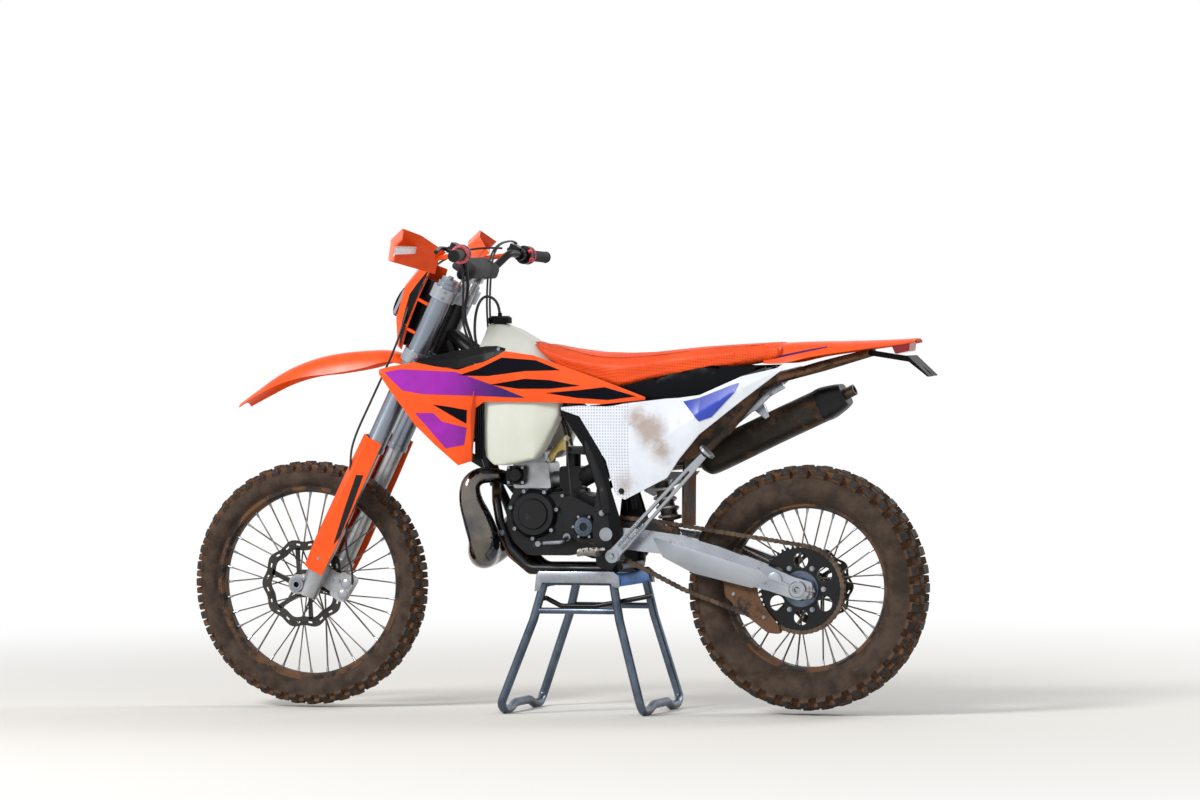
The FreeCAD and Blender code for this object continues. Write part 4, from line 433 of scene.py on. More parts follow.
# black anodised aluminium: a dark metal with a faint sheen
black_anodised = finish("black_anodised_aluminium", "#17181b", "#0e0f11", 2.0, (0.25, 0.4), metallic=0.3,
                        bump=0.03, shine=0.35)
# moulded rubber: matt and almost black
grip_rubber = finish("grip_rubber", "#161618", "#0e0e10", 0.8, (0.55, 0.7), bump=0.3, shine=0.3)
# steel under oil and road dirt: brown in the hollows
dark_steel = finish("oiled_steel", "#5a5148", "#38322d", 1.0, (0.35, 0.6), metallic=0.7, bump=0.1, mud=0.4)
# anodised golden: a soft, slightly brown metal
golden = finish("gold_anodised_aluminium", "#b09a62", "#8f7c4c", 3.0, (0.3, 0.4), metallic=0.9, bump=0.05)
rounded("crankcase", black_coat, 2.0)
rounded("engine_covers", black_coat)
rounded("cylinder", cast_alloy, 1.0)
rounded("carburettor", black_anodised, 1.0, grip_rubber, lambda centre: centre.x < -0.08)
dress(dark_steel, "drive_sprocket")
fasten("cover_screws_left", socket_screw,
       seats("engine_covers", LEFT, ring(41, 554, 70, 7, 5.5, 15) + ring(-119, 520, 32, 6, 4)
             + ring(98, 664, 30, 4, 4.5, 45) + [(-43, 606, 5)]), "chassis")
fasten("cover_screws_right", socket_screw, seats("engine_covers", RIGHT, ring(-20, 542, 84, 9, 5.5)),
       "chassis")
fasten("engine_mount_bolts", hex_bolt,
       seats("frame", LEFT, [(139, 500, 9), (-179, 560, 9)]) + seats("frame", RIGHT, [(139, 500, 9)]),
       "chassis")
edit = bmesh.new()
slab(edit, ((4, 704), (-2, 722), (-20, 744), (-44, 772), (-58, 778), (-68, 770), (-60, 756), (-64, 748),
            (-80, 748), (-88, 738), (-80, 728), (-62, 732), (-44, 736), (-30, 728), (-18, 706), (-6, 698)),
     72, 78)
place_mesh("head_stay", edit, golden, "chassis")
stay_bolts = [(at(x, 78, z), ACROSS, 7) for x, z in ((-4, 708), (-56, 768), (-79, 738))]
fasten("head_stay_bolts", hex_bolt, stay_bolts, "chassis")
edit = bmesh.new()
for x, z, low, high in ((-4, 708, 40, 74), (-79, 738, 74, 118)):
    turned(edit, ((0, 0), (0, 7), (high - low, 7), (high - low, 0)), 16, at(x, low, z), ACROSS)
slab(edit, ((-74, 748), (-132, 748), (-150, 730), (-132, 722), (-74, 728)), 110, 118)
place_mesh("head_stay_lugs", edit, black_coat, "chassis")


# Exhaust: two pressed steel halves welded along their edge make the chamber, nickel plated and straw coloured
# from the heat. The silencer is a flattened, muddy can with a moulded cap, a bolted tail pipe and a hanger.
CHAMBER = ((120, 0, 650, 20), (140, 24, 654, 20), (166, 60, 662, 21), (202, 84, 660, 24), (224, 96, 636, 28),
           (222, 100, 590, 34), (200, 102, 534, 42), (184, 98, 482, 45), (198, 62, 448, 45),
           (214, 0, 440, 44),
           (200, -62, 456, 42), (176, -116, 496, 40), (132, -148, 556, 37), (60, -166, 616, 32),
           (-40, -172, 656, 26), (-160, -172, 676, 20), (-280, -160, 684, 15), (-392, -142, 694, 14))
SILENCER = ((-392, -142, 694, 26), (-408, -140, 702, 44), (-440, -137, 716, 48), (-600, -130, 790, 48),
            (-752, -123, 858, 48))
SILENCER_CAP = ((-752, -123, 858, 49), (-770, -122, 866, 49), (-806, -120, 882, 40), (-822, -119, 890, 33))
SECTION_STEPS = 36


def smooth_rows(rows, steps):
    """Rows of numbers with smooth rows put in between."""
    made = []
    for index in range(len(rows) - 1):
        a, b, c, d = (rows[min(max(index + k, 0), len(rows) - 1)] for k in (-1, 0, 1, 2))
        for t in (step / steps for step in range(steps)):
            made.append([0.5 * (2 * q + (r - p) * t + (2 * p - 5 * q + 4 * r - s) * t * t
                                + (3 * q - p - 3 * r + s) * t ** 3) for p, q, r, s in zip(a, b, c, d)])
    return made + [list(rows[-1])]


def stand_in(node, name, edit, material, crease=35):
    """A piece that stands for a CAD node on the node's body."""
    skins[node] = place_mesh(name, edit, material, nodes[node]["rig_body"], crease)
    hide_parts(node)
    return skins[node]


def swept(rows, section):
    """A smooth closed body through rows of x, y, z and radius, its section given as radius by angle."""
    edit = bmesh.new()
    stations = [Vector(row) for row in smooth_rows(rows, 4)]
    loops = []
    across = ACROSS
    for index, station in enumerate(stations):
        ahead = stations[min(index + 1, len(stations) - 1)].xyz - stations[max(index - 1, 0)].xyz
        ahead.normalize()
        across = (across - ahead * across.dot(ahead)).normalized()
        up = ahead.cross(across)
        loops.append([edit.verts.new(at(*(station.xyz + station.w * section(angle)
                                          * (across * math.cos(angle) + up * math.sin(angle)))))
                      for angle in (math.tau * step / SECTION_STEPS for step in range(SECTION_STEPS))])
    for before, after in zip(loops, loops[1:]):
        for step in range(SECTION_STEPS):
            following = (step + 1) % SECTION_STEPS
            edit.faces.new((before[step], before[following], after[following], after[step]))
    for loop in (loops[0], loops[-1]):
        edit.faces.new(loop)
    return edit


def squared(power, size):
    """The section of a flattened can: a rounded square."""
    return lambda angle: size / (abs(math.cos(angle)) ** power + abs(math.sin(angle)) ** power) ** (1 / power)


def tube_mesh(name, points, diameter, resolution=6):
    """A round tube on a smooth line through its control points."""
    line = bpy.data.curves.new(name, "CURVE")
    line.dimensions = "3D"
    spline = line.splines.new("NURBS")
    spline.points.add(len(points) - 1)
    for control, point in zip(spline.points, points):
        control.co = (*point, 1)
    spline.order_u = 3
    spline.use_endpoint_u = True
    line.resolution_u = resolution
    line.bevel_depth = diameter / 2 * MM
    line.bevel_resolution = 3
    line.use_fill_caps = True
    holder = bpy.data.objects.new(name, line)
    mesh = bpy.data.meshes.new_from_object(holder)
    bpy.data.objects.remove(holder)
    bpy.data.curves.remove(line)
    return mesh


# deep drawn steel, nickel plated and polished: mirror bright, straw coloured and blue from the heat
plated_steel = finish("nickel_plated_steel", "#7c756c", "#3e4352", 2.0, (0.08, 0.18), metallic=1.0, bump=0.01,
                      blotch=140)
# black anodising under a skin of dried soil: brown and dull
silencer_skin = finish("black_anodised_muddy", "#3f372e", "#2a251f", 1.2, (0.35, 0.55), metallic=0.3,
                       bump=0.08,
                       mud=0.42, shine=0.35)
# moulded cap, dusty: black with a low sheen
cap_black = finish("silencer_cap_black", "#1a1a1d", "#101012", 1.5, (0.3, 0.45), metallic=0.2, bump=0.05,
                   mud=0.12, shine=0.35)
# cast and forged aluminium splashed with soil: pale and bright between brown patches
muddy_alloy = finish("cast_aluminium_muddy", "#b6bac2", "#979ca6", 0.8, (0.2, 0.34), metallic=0.95, bump=0.04,
                     mud=0.26, blotch=150)
stand_in("exhaust_chamber", "exhaust_pressing", swept(CHAMBER, lambda angle: 1.0), plated_steel,
         40)
place_mesh("silencer_can", swept(SILENCER, squared(3.2, 0.97)), silencer_skin, "chassis", 40)
stand_in("silencer", "silencer_cap", swept(SILENCER_CAP, squared(4, 0.96)), cap_black, 25)
edit = bmesh.new()
turned(edit, ((0, 11), (0, 16), (34, 16), (34, 11)), 28, at(-818, -119, 888),
       Vector((-38, 2, 18)).normalized())
for angle in (math.radians(degrees) for degrees in range(0, 360, 60)):
    arm = Vector((math.sin(angle) * 0.45, math.cos(angle), math.sin(angle) * 0.9))
    stamp(edit, hex_bolt, aim(at(-746, -123, 856) + arm * 47 * MM, arm.normalized(), 4 * MM))
place_mesh("silencer_tail", edit, dark_steel, "chassis")
edit = bmesh.new()
seam = [at(x, y + (r if y >= 0 else -r) * 0.99, z) for x, y, z, r in CHAMBER[3:8]]
edit.from_mesh(tube_mesh("seam", seam, 2.4))
for index in (3, 5, 12):
    spot, following = Vector(CHAMBER[index]), Vector(CHAMBER[index + 1])
    weld = [(height, spot.w + rise) for height, rise in ((-1.2, -2), (-1.2, 0.8), (1.2, 0.8), (1.2, -2))]
    turned(edit, weld, 36, at(*spot.xyz), (following.xyz - spot.xyz).normalized())
place_mesh("exhaust_welds", edit, plated_steel, "chassis")
edit = bmesh.new()
slab(edit, ((-512, 838), (-560, 884), (-604, 916), (-648, 930), (-660, 908), (-616, 884), (-574, 846),
            (-536, 826)), -70, -62)
slab(edit, ((-560, 850), (-600, 820), (-612, 828), (-590, 872)), -82, -70)
place_mesh("silencer_hanger", edit, muddy_alloy, "chassis")


# Coolers: brazed aluminium cores under black paint, with moulded rubber hoses. Their copy is trimmed so that
# they stay behind the shrouds' front edge.
rounded("radiators", black_coat, 0.8, trim=(at(224, 0, 694), Vector((0.729, 0, -0.684))))
dress(grip_rubber, "hoses")


# Swingarm: a cast aluminium arm with a polished panel on each side. A polished adjuster block sits in the
# slot of each end with the axle's ring nut, its bolt out of the back. The moulded chain guide is bolted
# below.
rear_x, rear_z = -745.1, 349.0
# turned and polished aluminium: even, pale and bright
bright_alloy = finish("turned_aluminium", "#a9aeb5", "#989da5", 2.0, (0.26, 0.34), metallic=0.85, bump=0.0,
                      blotch=200)
rounded("swingarm", muddy_alloy, 2.0)
rounded("rear_caliper", cast_alloy, 1.0)
dress(zinc_steel, "rear_axle")
dress(muddy_black, "chain_guide")
panels, adjusters = bmesh.new(), bmesh.new()
for side in (LEFT, RIGHT):
    out = ACROSS * side
    slab(panels, ((-322, 492), (-640, 400), (-668, 376), (-612, 352), (-440, 392), (-352, 436)),
         side * 113.6, side * 115.2)
    slab(adjusters, arc(rear_x + 66, rear_z + 27, 21, range(10, 191, 20))
         + arc(rear_x - 12, rear_z - 3, 23, range(195, 376, 20)), side * 114.2, side * 119.5)
    turned(adjusters, ((0, 12), (0, 23), (5, 24), (9, 20), (9, 12)), 40, at(rear_x, side * 119, rear_z), out)
    stamp(adjusters, hex_bolt, aim(at(rear_x - 42, side * 103, rear_z - 4),
                                   Vector((-1, 0, -0.35)).normalized(), 7 * MM))
place_mesh("swingarm_panels", panels, bright_alloy, "chassis")
place_mesh("axle_adjusters", adjusters, bright_alloy, "chassis")
fasten("guide_bolts", hex_bolt, seats("chain_guide", LEFT, [(-552, 334, 6), (-640, 270, 6)]), "chassis")


# Shock absorber: a coil spring in silver paint round a dark damper body, between its two eyes.
SHOCK_LOW, SHOCK_HIGH = Vector((-352, 0, 492)), Vector((-258, 0, 850))
COIL_TURNS, TURN_STEPS = 8, 8
COIL_FOOT, COIL_LENGTH, COIL_RADIUS, COIL_WIRE = 50, 214, 30.5, 9.5
# silver paint on spring steel: pale and metallic where the soil leaves it bare
spring_silver = finish("silver_spring_paint", "#d5d8de", "#b7bbc3", 3.0, (0.25, 0.4), metallic=0.6, bump=0.02,
                       mud=0.3)
along = (SHOCK_HIGH - SHOCK_LOW).normalized()
beside = along.cross(ACROSS)
coil = []
for step in range(COIL_TURNS * TURN_STEPS + 1):
    angle = math.tau * step / TURN_STEPS
    rise = COIL_FOOT + COIL_LENGTH * step / (COIL_TURNS * TURN_STEPS)
    coil.append(at(*(SHOCK_LOW + along * rise
                     + COIL_RADIUS * (beside * math.cos(angle) + ACROSS * math.sin(angle)))))
edit = bmesh.new()
edit.from_mesh(tube_mesh("coil", coil, COIL_WIRE, 4))
stand_in("shock_absorber", "shock_spring", edit, spring_silver, 50)
edit = bmesh.new()
turned(edit, ((0, 0), (0, 16), (24, 16), (30, 8), (44, 8), (44, 31), (50, 33), (52, 24), (140, 20), (262, 22),
              (264, 33), (274, 33), (276, 23), (340, 23), (344, 14), (366, 14), (366, 0)), 36,
       at(*SHOCK_LOW), along)
place_mesh("shock_damper", edit, dark_steel, "chassis")


# Knobbly tyres: a moulded rubber casing with rows of square blocks, two in the middle, then one each side of
# them half a pitch on, and a shoulder block. Dried soil fills the ground between the blocks, and the blocks'
# tips are rubbed bare.
WALL_SOIL = ("#4d3f35", "#352b25")
GROUND_SOIL = ("#74533a", "#4d3728")
BLOCK_ROWS = (
    # share of the half width, tilt in degrees, drop, size along and across, share of a pitch on
    (0.19, 4, 0.000, 1.0, 0.95, 0.0), (0.50, 16, 0.005, 0.85, 0.85, 0.5), (0.79, 44, 0.012, 1.05, 0.95, 0.02),
)
CASING_STEPS = 160
# tips rubbed bare of soil: darker than the rest, and matt
knob_tip = finish("rubbed_tyre_rubber", "#393532", "#1e1c1b", 1.5, (0.6, 0.8), bump=0.5, mud=0.22, blotch=20,
                  shine=0.3)


def opened(material):
    """A finish's tree, its shader and the colour that goes into the shader, for adding to them."""
    tree = material.node_tree
    shader = tree.nodes["Principled BSDF"]
    return tree, shader, shader.inputs["Base Color"].links[0].from_socket


def soiled_rubber(name, centre, radius, depth):
    """Tyre rubber: dusty walls, and brown soil on the ground of the tread and the blocks' sides."""
    material = finish(name, *WALL_SOIL, 2.5, (0.75, 0.95), bump=0.7, blotch=45, shine=0.25)
    tree, shader, colour = opened(material)
    place = add(tree, "TexCoord").outputs["Object"]
    arm = add(tree, "VectorMath", {"operation": "SUBTRACT"}, {0: place, 1: centre})
    arm = add(tree, "VectorMath", {"operation": "MULTIPLY"}, {0: arm.outputs[0], 1: (1, 0, 1)})
    reach = add(tree, "VectorMath", {"operation": "LENGTH"}, {0: arm.outputs[0]})
    grime = add(tree, "TexNoise", {}, {"Vector": place, "Scale": 45.0, "Detail": 6.0, "Roughness": 0.65})
    reach = add(tree, "Math", {"operation": "MULTIPLY_ADD"},
                {0: grime.outputs[0], 1: 0.03, 2: reach.outputs["Value"]})
    share = add(tree, "MapRange", {"interpolation_type": "SMOOTHSTEP"},
                {0: reach.outputs[0], 1: radius - 2.2 * depth + 0.015, 2: radius - 1.3 * depth + 0.015})
    tone = add(tree, "MapRange", {}, {0: grime.outputs[0], 1: 0.4, 2: 0.6})
    light, dark = (linear(tint) for tint in GROUND_SOIL)
    layer = add(tree, "Mix", {"data_type": "RGBA"}, {0: tone.outputs[0], 6: light, 7: dark})
    colour = add(tree, "Mix", {"data_type": "RGBA"}, {0: share.outputs[0], 6: colour, 7: layer.outputs[2]})
    tree.links.new(colour.outputs[2], shader.inputs["Base Color"])
    return material


def knob(edit):
    """A tyre block of one unit each way, narrower at the top, with a rubbed tip."""
    loops = [[edit.verts.new((x * half, y * half, z)) for x, y in ((1, 1), (-1, 1), (-1, -1), (1, -1))]
             for half, z in ((0.58, -0.5), (0.47, 0.38), (0.42, 0.5))]
    for before, after in zip(loops, loops[1:]):
        for index in range(4):
            edit.faces.new((before[index], before[(index + 1) % 4], after[(index + 1) % 4], after[index]))
    edit.faces.new(loops[2])
    for face in edit.faces:
        face.material_index = int(face.calc_center_median().z > 0.4)


knob = pattern(knob)


def tyre(node, bead_radius, pitches, length, width, depth):
    """A casing spun round the axle, and its rows of tapered blocks of a length, width and depth."""
    low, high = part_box(node)
    centre = (low + high) / 2
    radius, half = (high.x - low.x) / 2, (high.y - low.y) / 2
    ground = radius - depth
    wall = ground - bead_radius
    profile = ((0.50, bead_radius), (0.56, bead_radius + 0.010), (0.72, bead_radius + 0.016),
               (0.90, bead_radius + 0.34 * wall), (0.96, bead_radius + 0.56 * wall),
               (0.90, bead_radius + 0.80 * wall), (0.62, ground - 0.006), (0.3, ground - 0.001), (0, ground))
    edit = bmesh.new()
    points = [edit.verts.new((0, half * y, r)) for y, r in profile]
    points += [edit.verts.new((0, -half * y, r)) for y, r in reversed(profile[:-1])]
    edges = [edit.edges.new(pair) for pair in zip(points, points[1:] + points[:1])]
    bmesh.ops.spin(edit, geom=points + edges, cent=(0, 0, 0), axis=(0, 1, 0), angle=math.tau,
                   steps=CASING_STEPS,
                   use_merge=True)
    for turn in range(pitches):
        for side in (LEFT, RIGHT):
            for share, tilt, drop, along, across, shift in BLOCK_ROWS:
                stamp(edit, knob, Matrix.Rotation(math.tau * (turn + shift) / pitches, 4, "Y")
                      @ Matrix.Translation((0, half * side * share, radius - drop - depth * 0.7))
                      @ Matrix.Rotation(math.radians(-tilt * side), 4, "X")
                      @ Matrix.Diagonal((length * along, width * across, depth * 1.4, 1)))
    bmesh.ops.translate(edit, vec=centre, verts=edit.verts)
    for vertex in edit.verts:
        arm = Vector((vertex.co.x - centre.x, 0, vertex.co.z - centre.z))
        if arm.length > radius:
            vertex.co -= arm * (1 - radius / arm.length)
    rubber = soiled_rubber(node + "_rubber", centre, radius, depth)
    stand_in(node, node + "_knobbly", edit, rubber, 40).data.materials.append(knob_tip)


tyre("front_tyre", 0.268, 44, 0.021, 0.020, 0.014)
tyre("rear_tyre", 0.230, 40, 0.025, 0.028, 0.018)


# Wheels: black rims laced to turned hubs, with a nickel-plated nipple where each spoke meets the rim. Wavy
# stainless discs and the black anodised sprocket are bolted to the hubs.
SPOKES = 36
FLANGE_REACH = 31
SPOKE_LEAN = 50
NIPPLE_LENGTH = 15
DISC_THICKNESS = 3
WAVE_STEPS = 12
HUB_STEPS = 48
front_x, front_z = 743.9, 349.7
# black anodised rims under dried soil: brown, and dull
rim_black = finish("black_rim_muddy", "#2b2724", "#1b1918", 2.0, (0.35, 0.6), metallic=0.3, bump=0.05,
                   mud=0.62,
                   shine=0.3)
# drawn steel, greyed with dirt: a soft shine
spoke_steel = finish("spoke_steel", "#86827d", "#5b554f", 3.0, (0.3, 0.45), metallic=0.9, bump=0.0, mud=0.3)
# stainless steel heated and dusty from braking: dark, with a dull shine
disc_steel = finish("stainless_steel", "#4a4744", "#2c2a29", 1.5, (0.3, 0.5), metallic=0.9, bump=0.05,
                    mud=0.14)
# hot-dip galvanised steel, worn and splashed: grey with a soft shine, and a blue tint that is a painted
# reflection of the sky
galvanised_worn_painted_sky = finish("galvanised_steel_worn_painted_sky_blue", "#687382", "#434c59", 4.0, (0.24, 0.42), metallic=0.95,
                         bump=0.05, mud=0.12, blotch=90)


def nipple(edit):
    """Spoke nipple: a short tapered shank, one unit long."""
    bmesh.ops.create_cone(edit, cap_ends=True, segments=8, radius1=0.3, radius2=0.2, depth=1.0,
                          matrix=Matrix.Translation((0, 0, 0.5)))


nipple = pattern(nipple)


def wavy_disc(node, x, y, z, reach, hub_reach=38, waves=10, arms=6):
    """A brake disc cut in waves, with slots through its track and arms from its hub."""
    edit = bmesh.new()
    steps = waves * WAVE_STEPS

    def spot(radius, angle):
        return edit.verts.new(at(x + radius * math.cos(angle), y - DISC_THICKNESS / 2,
                                 z + radius * math.sin(angle)))

    rings = []
    for share, wave in ((1.0, 4.5), (0.92, 3.2), (0.88, 3.2), (0.78, 3.2)):
        rings.append([spot(reach * share + wave * (math.cos(math.tau * step / WAVE_STEPS) - 1),
                           math.tau * step / steps) for step in range(steps)])
    track = []
    for index, (outer, inner) in enumerate(zip(rings, rings[1:])):
        for step in range(steps):
            if index == 1 and step % 6 in (2, 3):
                continue
            after = (step + 1) % steps
            track.append(edit.faces.new((outer[step], outer[after], inner[after], inner[step])))
    for start in (math.tau * arm / arms for arm in range(arms)):
        track.append(edit.faces.new([spot(hub_reach, start - 0.12), spot(reach * 0.80, start + 0.26),
                                     spot(reach * 0.80, start + 0.40), spot(hub_reach, start + 0.2)]))
    hub = [[spot(hub_reach * share, math.tau * step / HUB_STEPS) for step in range(HUB_STEPS)]
           for share in (1.06, 0.72)]
    for step in range(HUB_STEPS):
        after = (step + 1) % HUB_STEPS
        track.append(edit.faces.new((hub[0][step], hub[0][after], hub[1][after], hub[1][step])))
    pull(edit, track, (0, DISC_THICKNESS * MM, 0))
    stand_in(node, node + "_wavy", edit, disc_steel, 30)


dress(rim_black, "front_rim", "rear_rim")
dress(spoke_steel, "front_hub", "rear_hub")
dress(black_anodised, "rear_sprocket")
dress(zinc_steel, "front_axle")
for wheel, rim_bed, spread, hub_half in (("front", 260.5, 6, 35), ("rear", 222.5, 8, 44)):
    low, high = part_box(wheel + "_rim")
    centre = (low + high) / 2
    edit = bmesh.new()
    for index in range(SPOKES):
        side = LEFT if index % 2 else RIGHT
        lean = SPOKE_LEAN if (index // 2) % 2 else -SPOKE_LEAN
        angle = 360 * index / SPOKES
        turn = Matrix.Rotation(math.radians(angle + lean), 4, "Y")
        foot = turn @ Vector((FLANGE_REACH, side * hub_half, 0))
        head = Matrix.Rotation(math.radians(angle), 4, "Y") @ Vector((rim_bed, side * spread, 0))
        stamp(edit, nipple, aim(centre + head * MM, (foot - head).normalized(), NIPPLE_LENGTH * MM))
    place_mesh(wheel + "_nipples", edit, zinc_steel, wheel + "_wheel", 40)
wavy_disc("front_disc", front_x, 61, front_z, 129)
wavy_disc("rear_disc", rear_x, -76, rear_z, 109)
for name, node, side, body, rows in (
        ("front_disc_bolts", "front_hub", LEFT, "front_wheel", ring(front_x, front_z, 31, 6, 5, 30)),
        ("rear_disc_bolts", "rear_hub", RIGHT, "rear_wheel", ring(rear_x, rear_z, 31, 6, 5, 30)),
        ("sprocket_bolts", "rear_sprocket", LEFT, "rear_wheel", ring(rear_x, rear_z, 66, 6, 8))):
    fasten(name, hex_bolt, seats(node, side, rows), body)
edit = bmesh.new()
turned(edit, ((0, 24), (0, 50), (1.5, 51), (3, 49), (3, 24)), 48, at(rear_x, 83.2, rear_z), ACROSS)
turned(edit, ((0, 20), (0, 34), (8, 30), (8, 20)), 40, at(rear_x, 85, rear_z), ACROSS)
place_mesh("rear_hub_flange", edit, galvanised_worn_painted_sky, "rear_wheel")


# Drive chain: oiled steel side plates, in pairs inside and outside by turns, on rollers a tooth apart. A
# drilled ring guards the drive sprocket.
CHAIN_PITCH = 15.875
CHAIN_Y = 80
REAR_RING, DRIVE_RING = (rear_x, rear_z, 121.36), (-119, 520, 33.17)
over, under = (-300, 539), (-400, 345)
# rolled steel under chain oil and dust: brown with wet highlights
chain_steel = finish("oiled_chain_steel", "#6b5a4c", "#3a302a", 4.0, (0.3, 0.5), metallic=0.8, bump=0.1,
                     mud=0.3)


def tangent(wheel, point, side):
    """The angle on a sprocket where a straight run through a point touches it."""
    away = Vector(point) - Vector(wheel[:2])
    return math.atan2(away.y, away.x) + side * math.acos(wheel[2] / away.length)


def wrapped(wheel, before, after):
    """The chain round a sprocket, from the run through one point to the run through another."""
    start = tangent(wheel, before, 1)
    swing = (tangent(wheel, after, -1) - start) % math.tau
    x, z, radius = wheel
    steps = max(2, round(swing * radius / 4))
    angles = (start + swing * step / steps for step in range(steps + 1))
    return [Vector((x + radius * math.cos(angle), z + radius * math.sin(angle))) for angle in angles]


def link_plate(edit):
    """One side plate: round at both pins and waisted between them, in millimetres."""
    outline = []
    for end, facing in ((1, 0), (-1, 180)):
        outline += arc(end * CHAIN_PITCH / 2, 0, 6.6, [facing + angle for angle in range(-110, 111, 44)])
        outline.append((0, 4.6 * end))
    pull(edit, [edit.faces.new([edit.verts.new((x, -0.8, z)) for x, z in outline])], (0, 1.6, 0))


def chain_pin(edit):
    """A pin's riveted ends and the roller round it, in millimetres, across the bike."""
    for radius, depth in ((5.1, 7.0), (2.6, 16.0)):
        bmesh.ops.create_cone(edit, cap_ends=True, segments=10, radius1=radius, radius2=radius, depth=depth,
                              matrix=Matrix.Rotation(math.radians(90), 4, "X"))


link_plate, chain_pin = pattern(link_plate), pattern(chain_pin)
loop = [Vector(over)] + wrapped(REAR_RING, over, under) + [Vector(under)] + wrapped(DRIVE_RING, under, over)
loop.append(loop[0])
runs = [(b - a).length for a, b in zip(loop, loop[1:])]
links = 2 * round(sum(runs) / CHAIN_PITCH / 2)
pins = []
for index in range(links):
    left = sum(runs) * index / links
    for a, b, run in zip(loop, loop[1:], runs):
        if left <= run:
            pins.append(a.lerp(b, left / run))
            break
        left -= run
edit = bmesh.new()
for index, pin in enumerate(pins):
    following = pins[(index + 1) % links]
    middle = (pin + following) / 2
    slope = math.atan2(following.y - pin.y, following.x - pin.x)
    turn = Matrix.Rotation(-slope, 4, "Y") @ Matrix.Scale(MM, 4)
    for side in (LEFT, RIGHT):
        reach = CHAIN_Y + side * (6.7 if index % 2 else 4.8)
        stamp(edit, link_plate, Matrix.Translation(at(middle.x, reach, middle.y)) @ turn)
    stamp(edit, chain_pin, Matrix.Translation(at(pin.x, CHAIN_Y, pin.y)) @ turn)
stand_in("chain", "chain_links", edit, chain_steel, 30)
edit = bmesh.new()
turned(edit, ((0, 12), (0, 26), (2, 27), (4, 26), (4, 12)), 40, at(-119, 115.5, 520), ACROSS)
for x, z, radius in ring(-119, 520, 19, 10, 2.6):
    stamp(edit, socket_screw, aim(at(x, 119, z), ACROSS, radius * MM))
place_mesh("sprocket_guard_ring", edit, galvanised_worn_painted_sky, "chassis")


# Fuel tank: blow-moulded natural polythene, milky and a little see-through, with soft edges. Its cap is
# moulded black plastic. The copy is meshed evenly from the CAD solid and its edges are eased.
# natural polythene: a milky cream that lets light in a little, with a waxy gloss
milky = finish("natural_polythene", "#d9dcd4", "#cfd2c4", 3.0, (0.3, 0.4), bump=0.02, blotch=200)
milk = milky.node_tree.nodes["Principled BSDF"]
milk.inputs["Subsurface Weight"].default_value = 0.25
milk.inputs["Subsurface Radius"].default_value = (0.02, 0.02, 0.012)


def softened(name, node, material, voxel, ease):
    """A copy of a CAD solid's surface, meshed evenly and with its edges eased, standing for it."""
    edit = bmesh.new()
    edit.from_mesh(nodes[node].data)
    bmesh.ops.remove_doubles(edit, verts=edit.verts, dist=0.00002)
    piece = place_mesh(name, edit, material, nodes[node]["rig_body"], 80)
    skin = piece.modifiers.new("skin", "REMESH")
    skin.mode = "VOXEL"
    skin.voxel_size = voxel * MM
    meshed = bpy.data.meshes.new_from_object(piece.evaluated_get(bpy.context.evaluated_depsgraph_get()))
    piece.modifiers.clear()
    edit = bmesh.new()
    edit.from_mesh(meshed)
    for _ in range(ease):
        bmesh.ops.smooth_vert(edit, verts=edit.verts, factor=0.5, use_axis_x=True, use_axis_y=True,
                              use_axis_z=True)
    edit.to_mesh(meshed)
    edit.free()
    meshed.materials.clear()
    meshed.materials.append(material)
    meshed.shade_smooth()
    piece.data = meshed
    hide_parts(node)
    skins[node] = piece
    return piece


softened("fuel_tank_moulding", "fuel_tank", milky, 6, 6)
dress(black_plastic, "tank_cap")


# Seat: firm polyurethane foam under a dotted vinyl cover, stretched down over a black plastic base. A
# stitched seam runs along each edge of the top panel, and the base shows below the cover on each side.
DOT_SPACING = 7.5
FRAMES = 20
UNDERSIDE = -0.35
SEAM_ROWS = ((8, 30), (-30, 48), (-80, 64), (-150, 82), (-230, 92), (-320, 92), (-430, 88), (-540, 80),
             (-640, 70))
SEAT_BASE = ((-200, 910), (-292, 884), (-430, 886), (-500, 904), (-600, 952), (-640, 974), (-560, 972),
             (-495, 974),
             (-360, 946), (-250, 920))


def dots(tree, across, up, spacing, edge):
    """A grid of round dots over two coordinates: 1 inside a dot, with an edge from outside to inside."""
    flat = add(tree, "CombineXYZ", {}, {0: across, 1: up})
    grid = add(tree, "TexVoronoi", {"voronoi_dimensions": "2D"},
               {"Vector": flat.outputs[0], "Scale": 1000 / spacing, "Randomness": 0.0})
    return add(tree, "MapRange", {"interpolation_type": "SMOOTHSTEP"},
               {0: grid.outputs["Distance"], 1: edge[0], 2: edge[1]}).outputs[0]


def cushion(node, material, voxel, ease, pressure, most):
    """A padded piece made from a CAD solid: softened, then blown up against its cover, no point further
    than the most, with its underside held."""
    pad = softened(node + "_cushion", node, material, voxel, ease)
    meshed = pad.data
    held = [vertex.index for vertex in meshed.vertices if vertex.normal.z < UNDERSIDE]
    rest = [vertex.co.copy() for vertex in meshed.vertices]
    pad.vertex_groups.new(name="held").add(held, 1.0, "REPLACE")
    cloth = pad.modifiers.new("cover", "CLOTH")
    cloth.settings.vertex_group_mass = "held"
    cloth.settings.use_pressure = True
    cloth.settings.uniform_pressure_force = pressure
    cloth.settings.effector_weights.gravity = 0
    for step in range(1, FRAMES + 1):
        bpy.context.scene.frame_set(step)
    blown = bpy.data.meshes.new_from_object(pad.evaluated_get(bpy.context.evaluated_depsgraph_get()))
    pad.modifiers.clear()
    bpy.context.scene.frame_set(1)
    for vertex, start in zip(blown.vertices, rest):
        move = vertex.co - start
        if move.length > most * MM:
            vertex.co = start + move * (most * MM / move.length)
    pad.data = blown
    pad.data.shade_smooth()
    fine = pad.modifiers.new("fine", "SUBSURF")
    fine.levels = fine.render_levels = 1


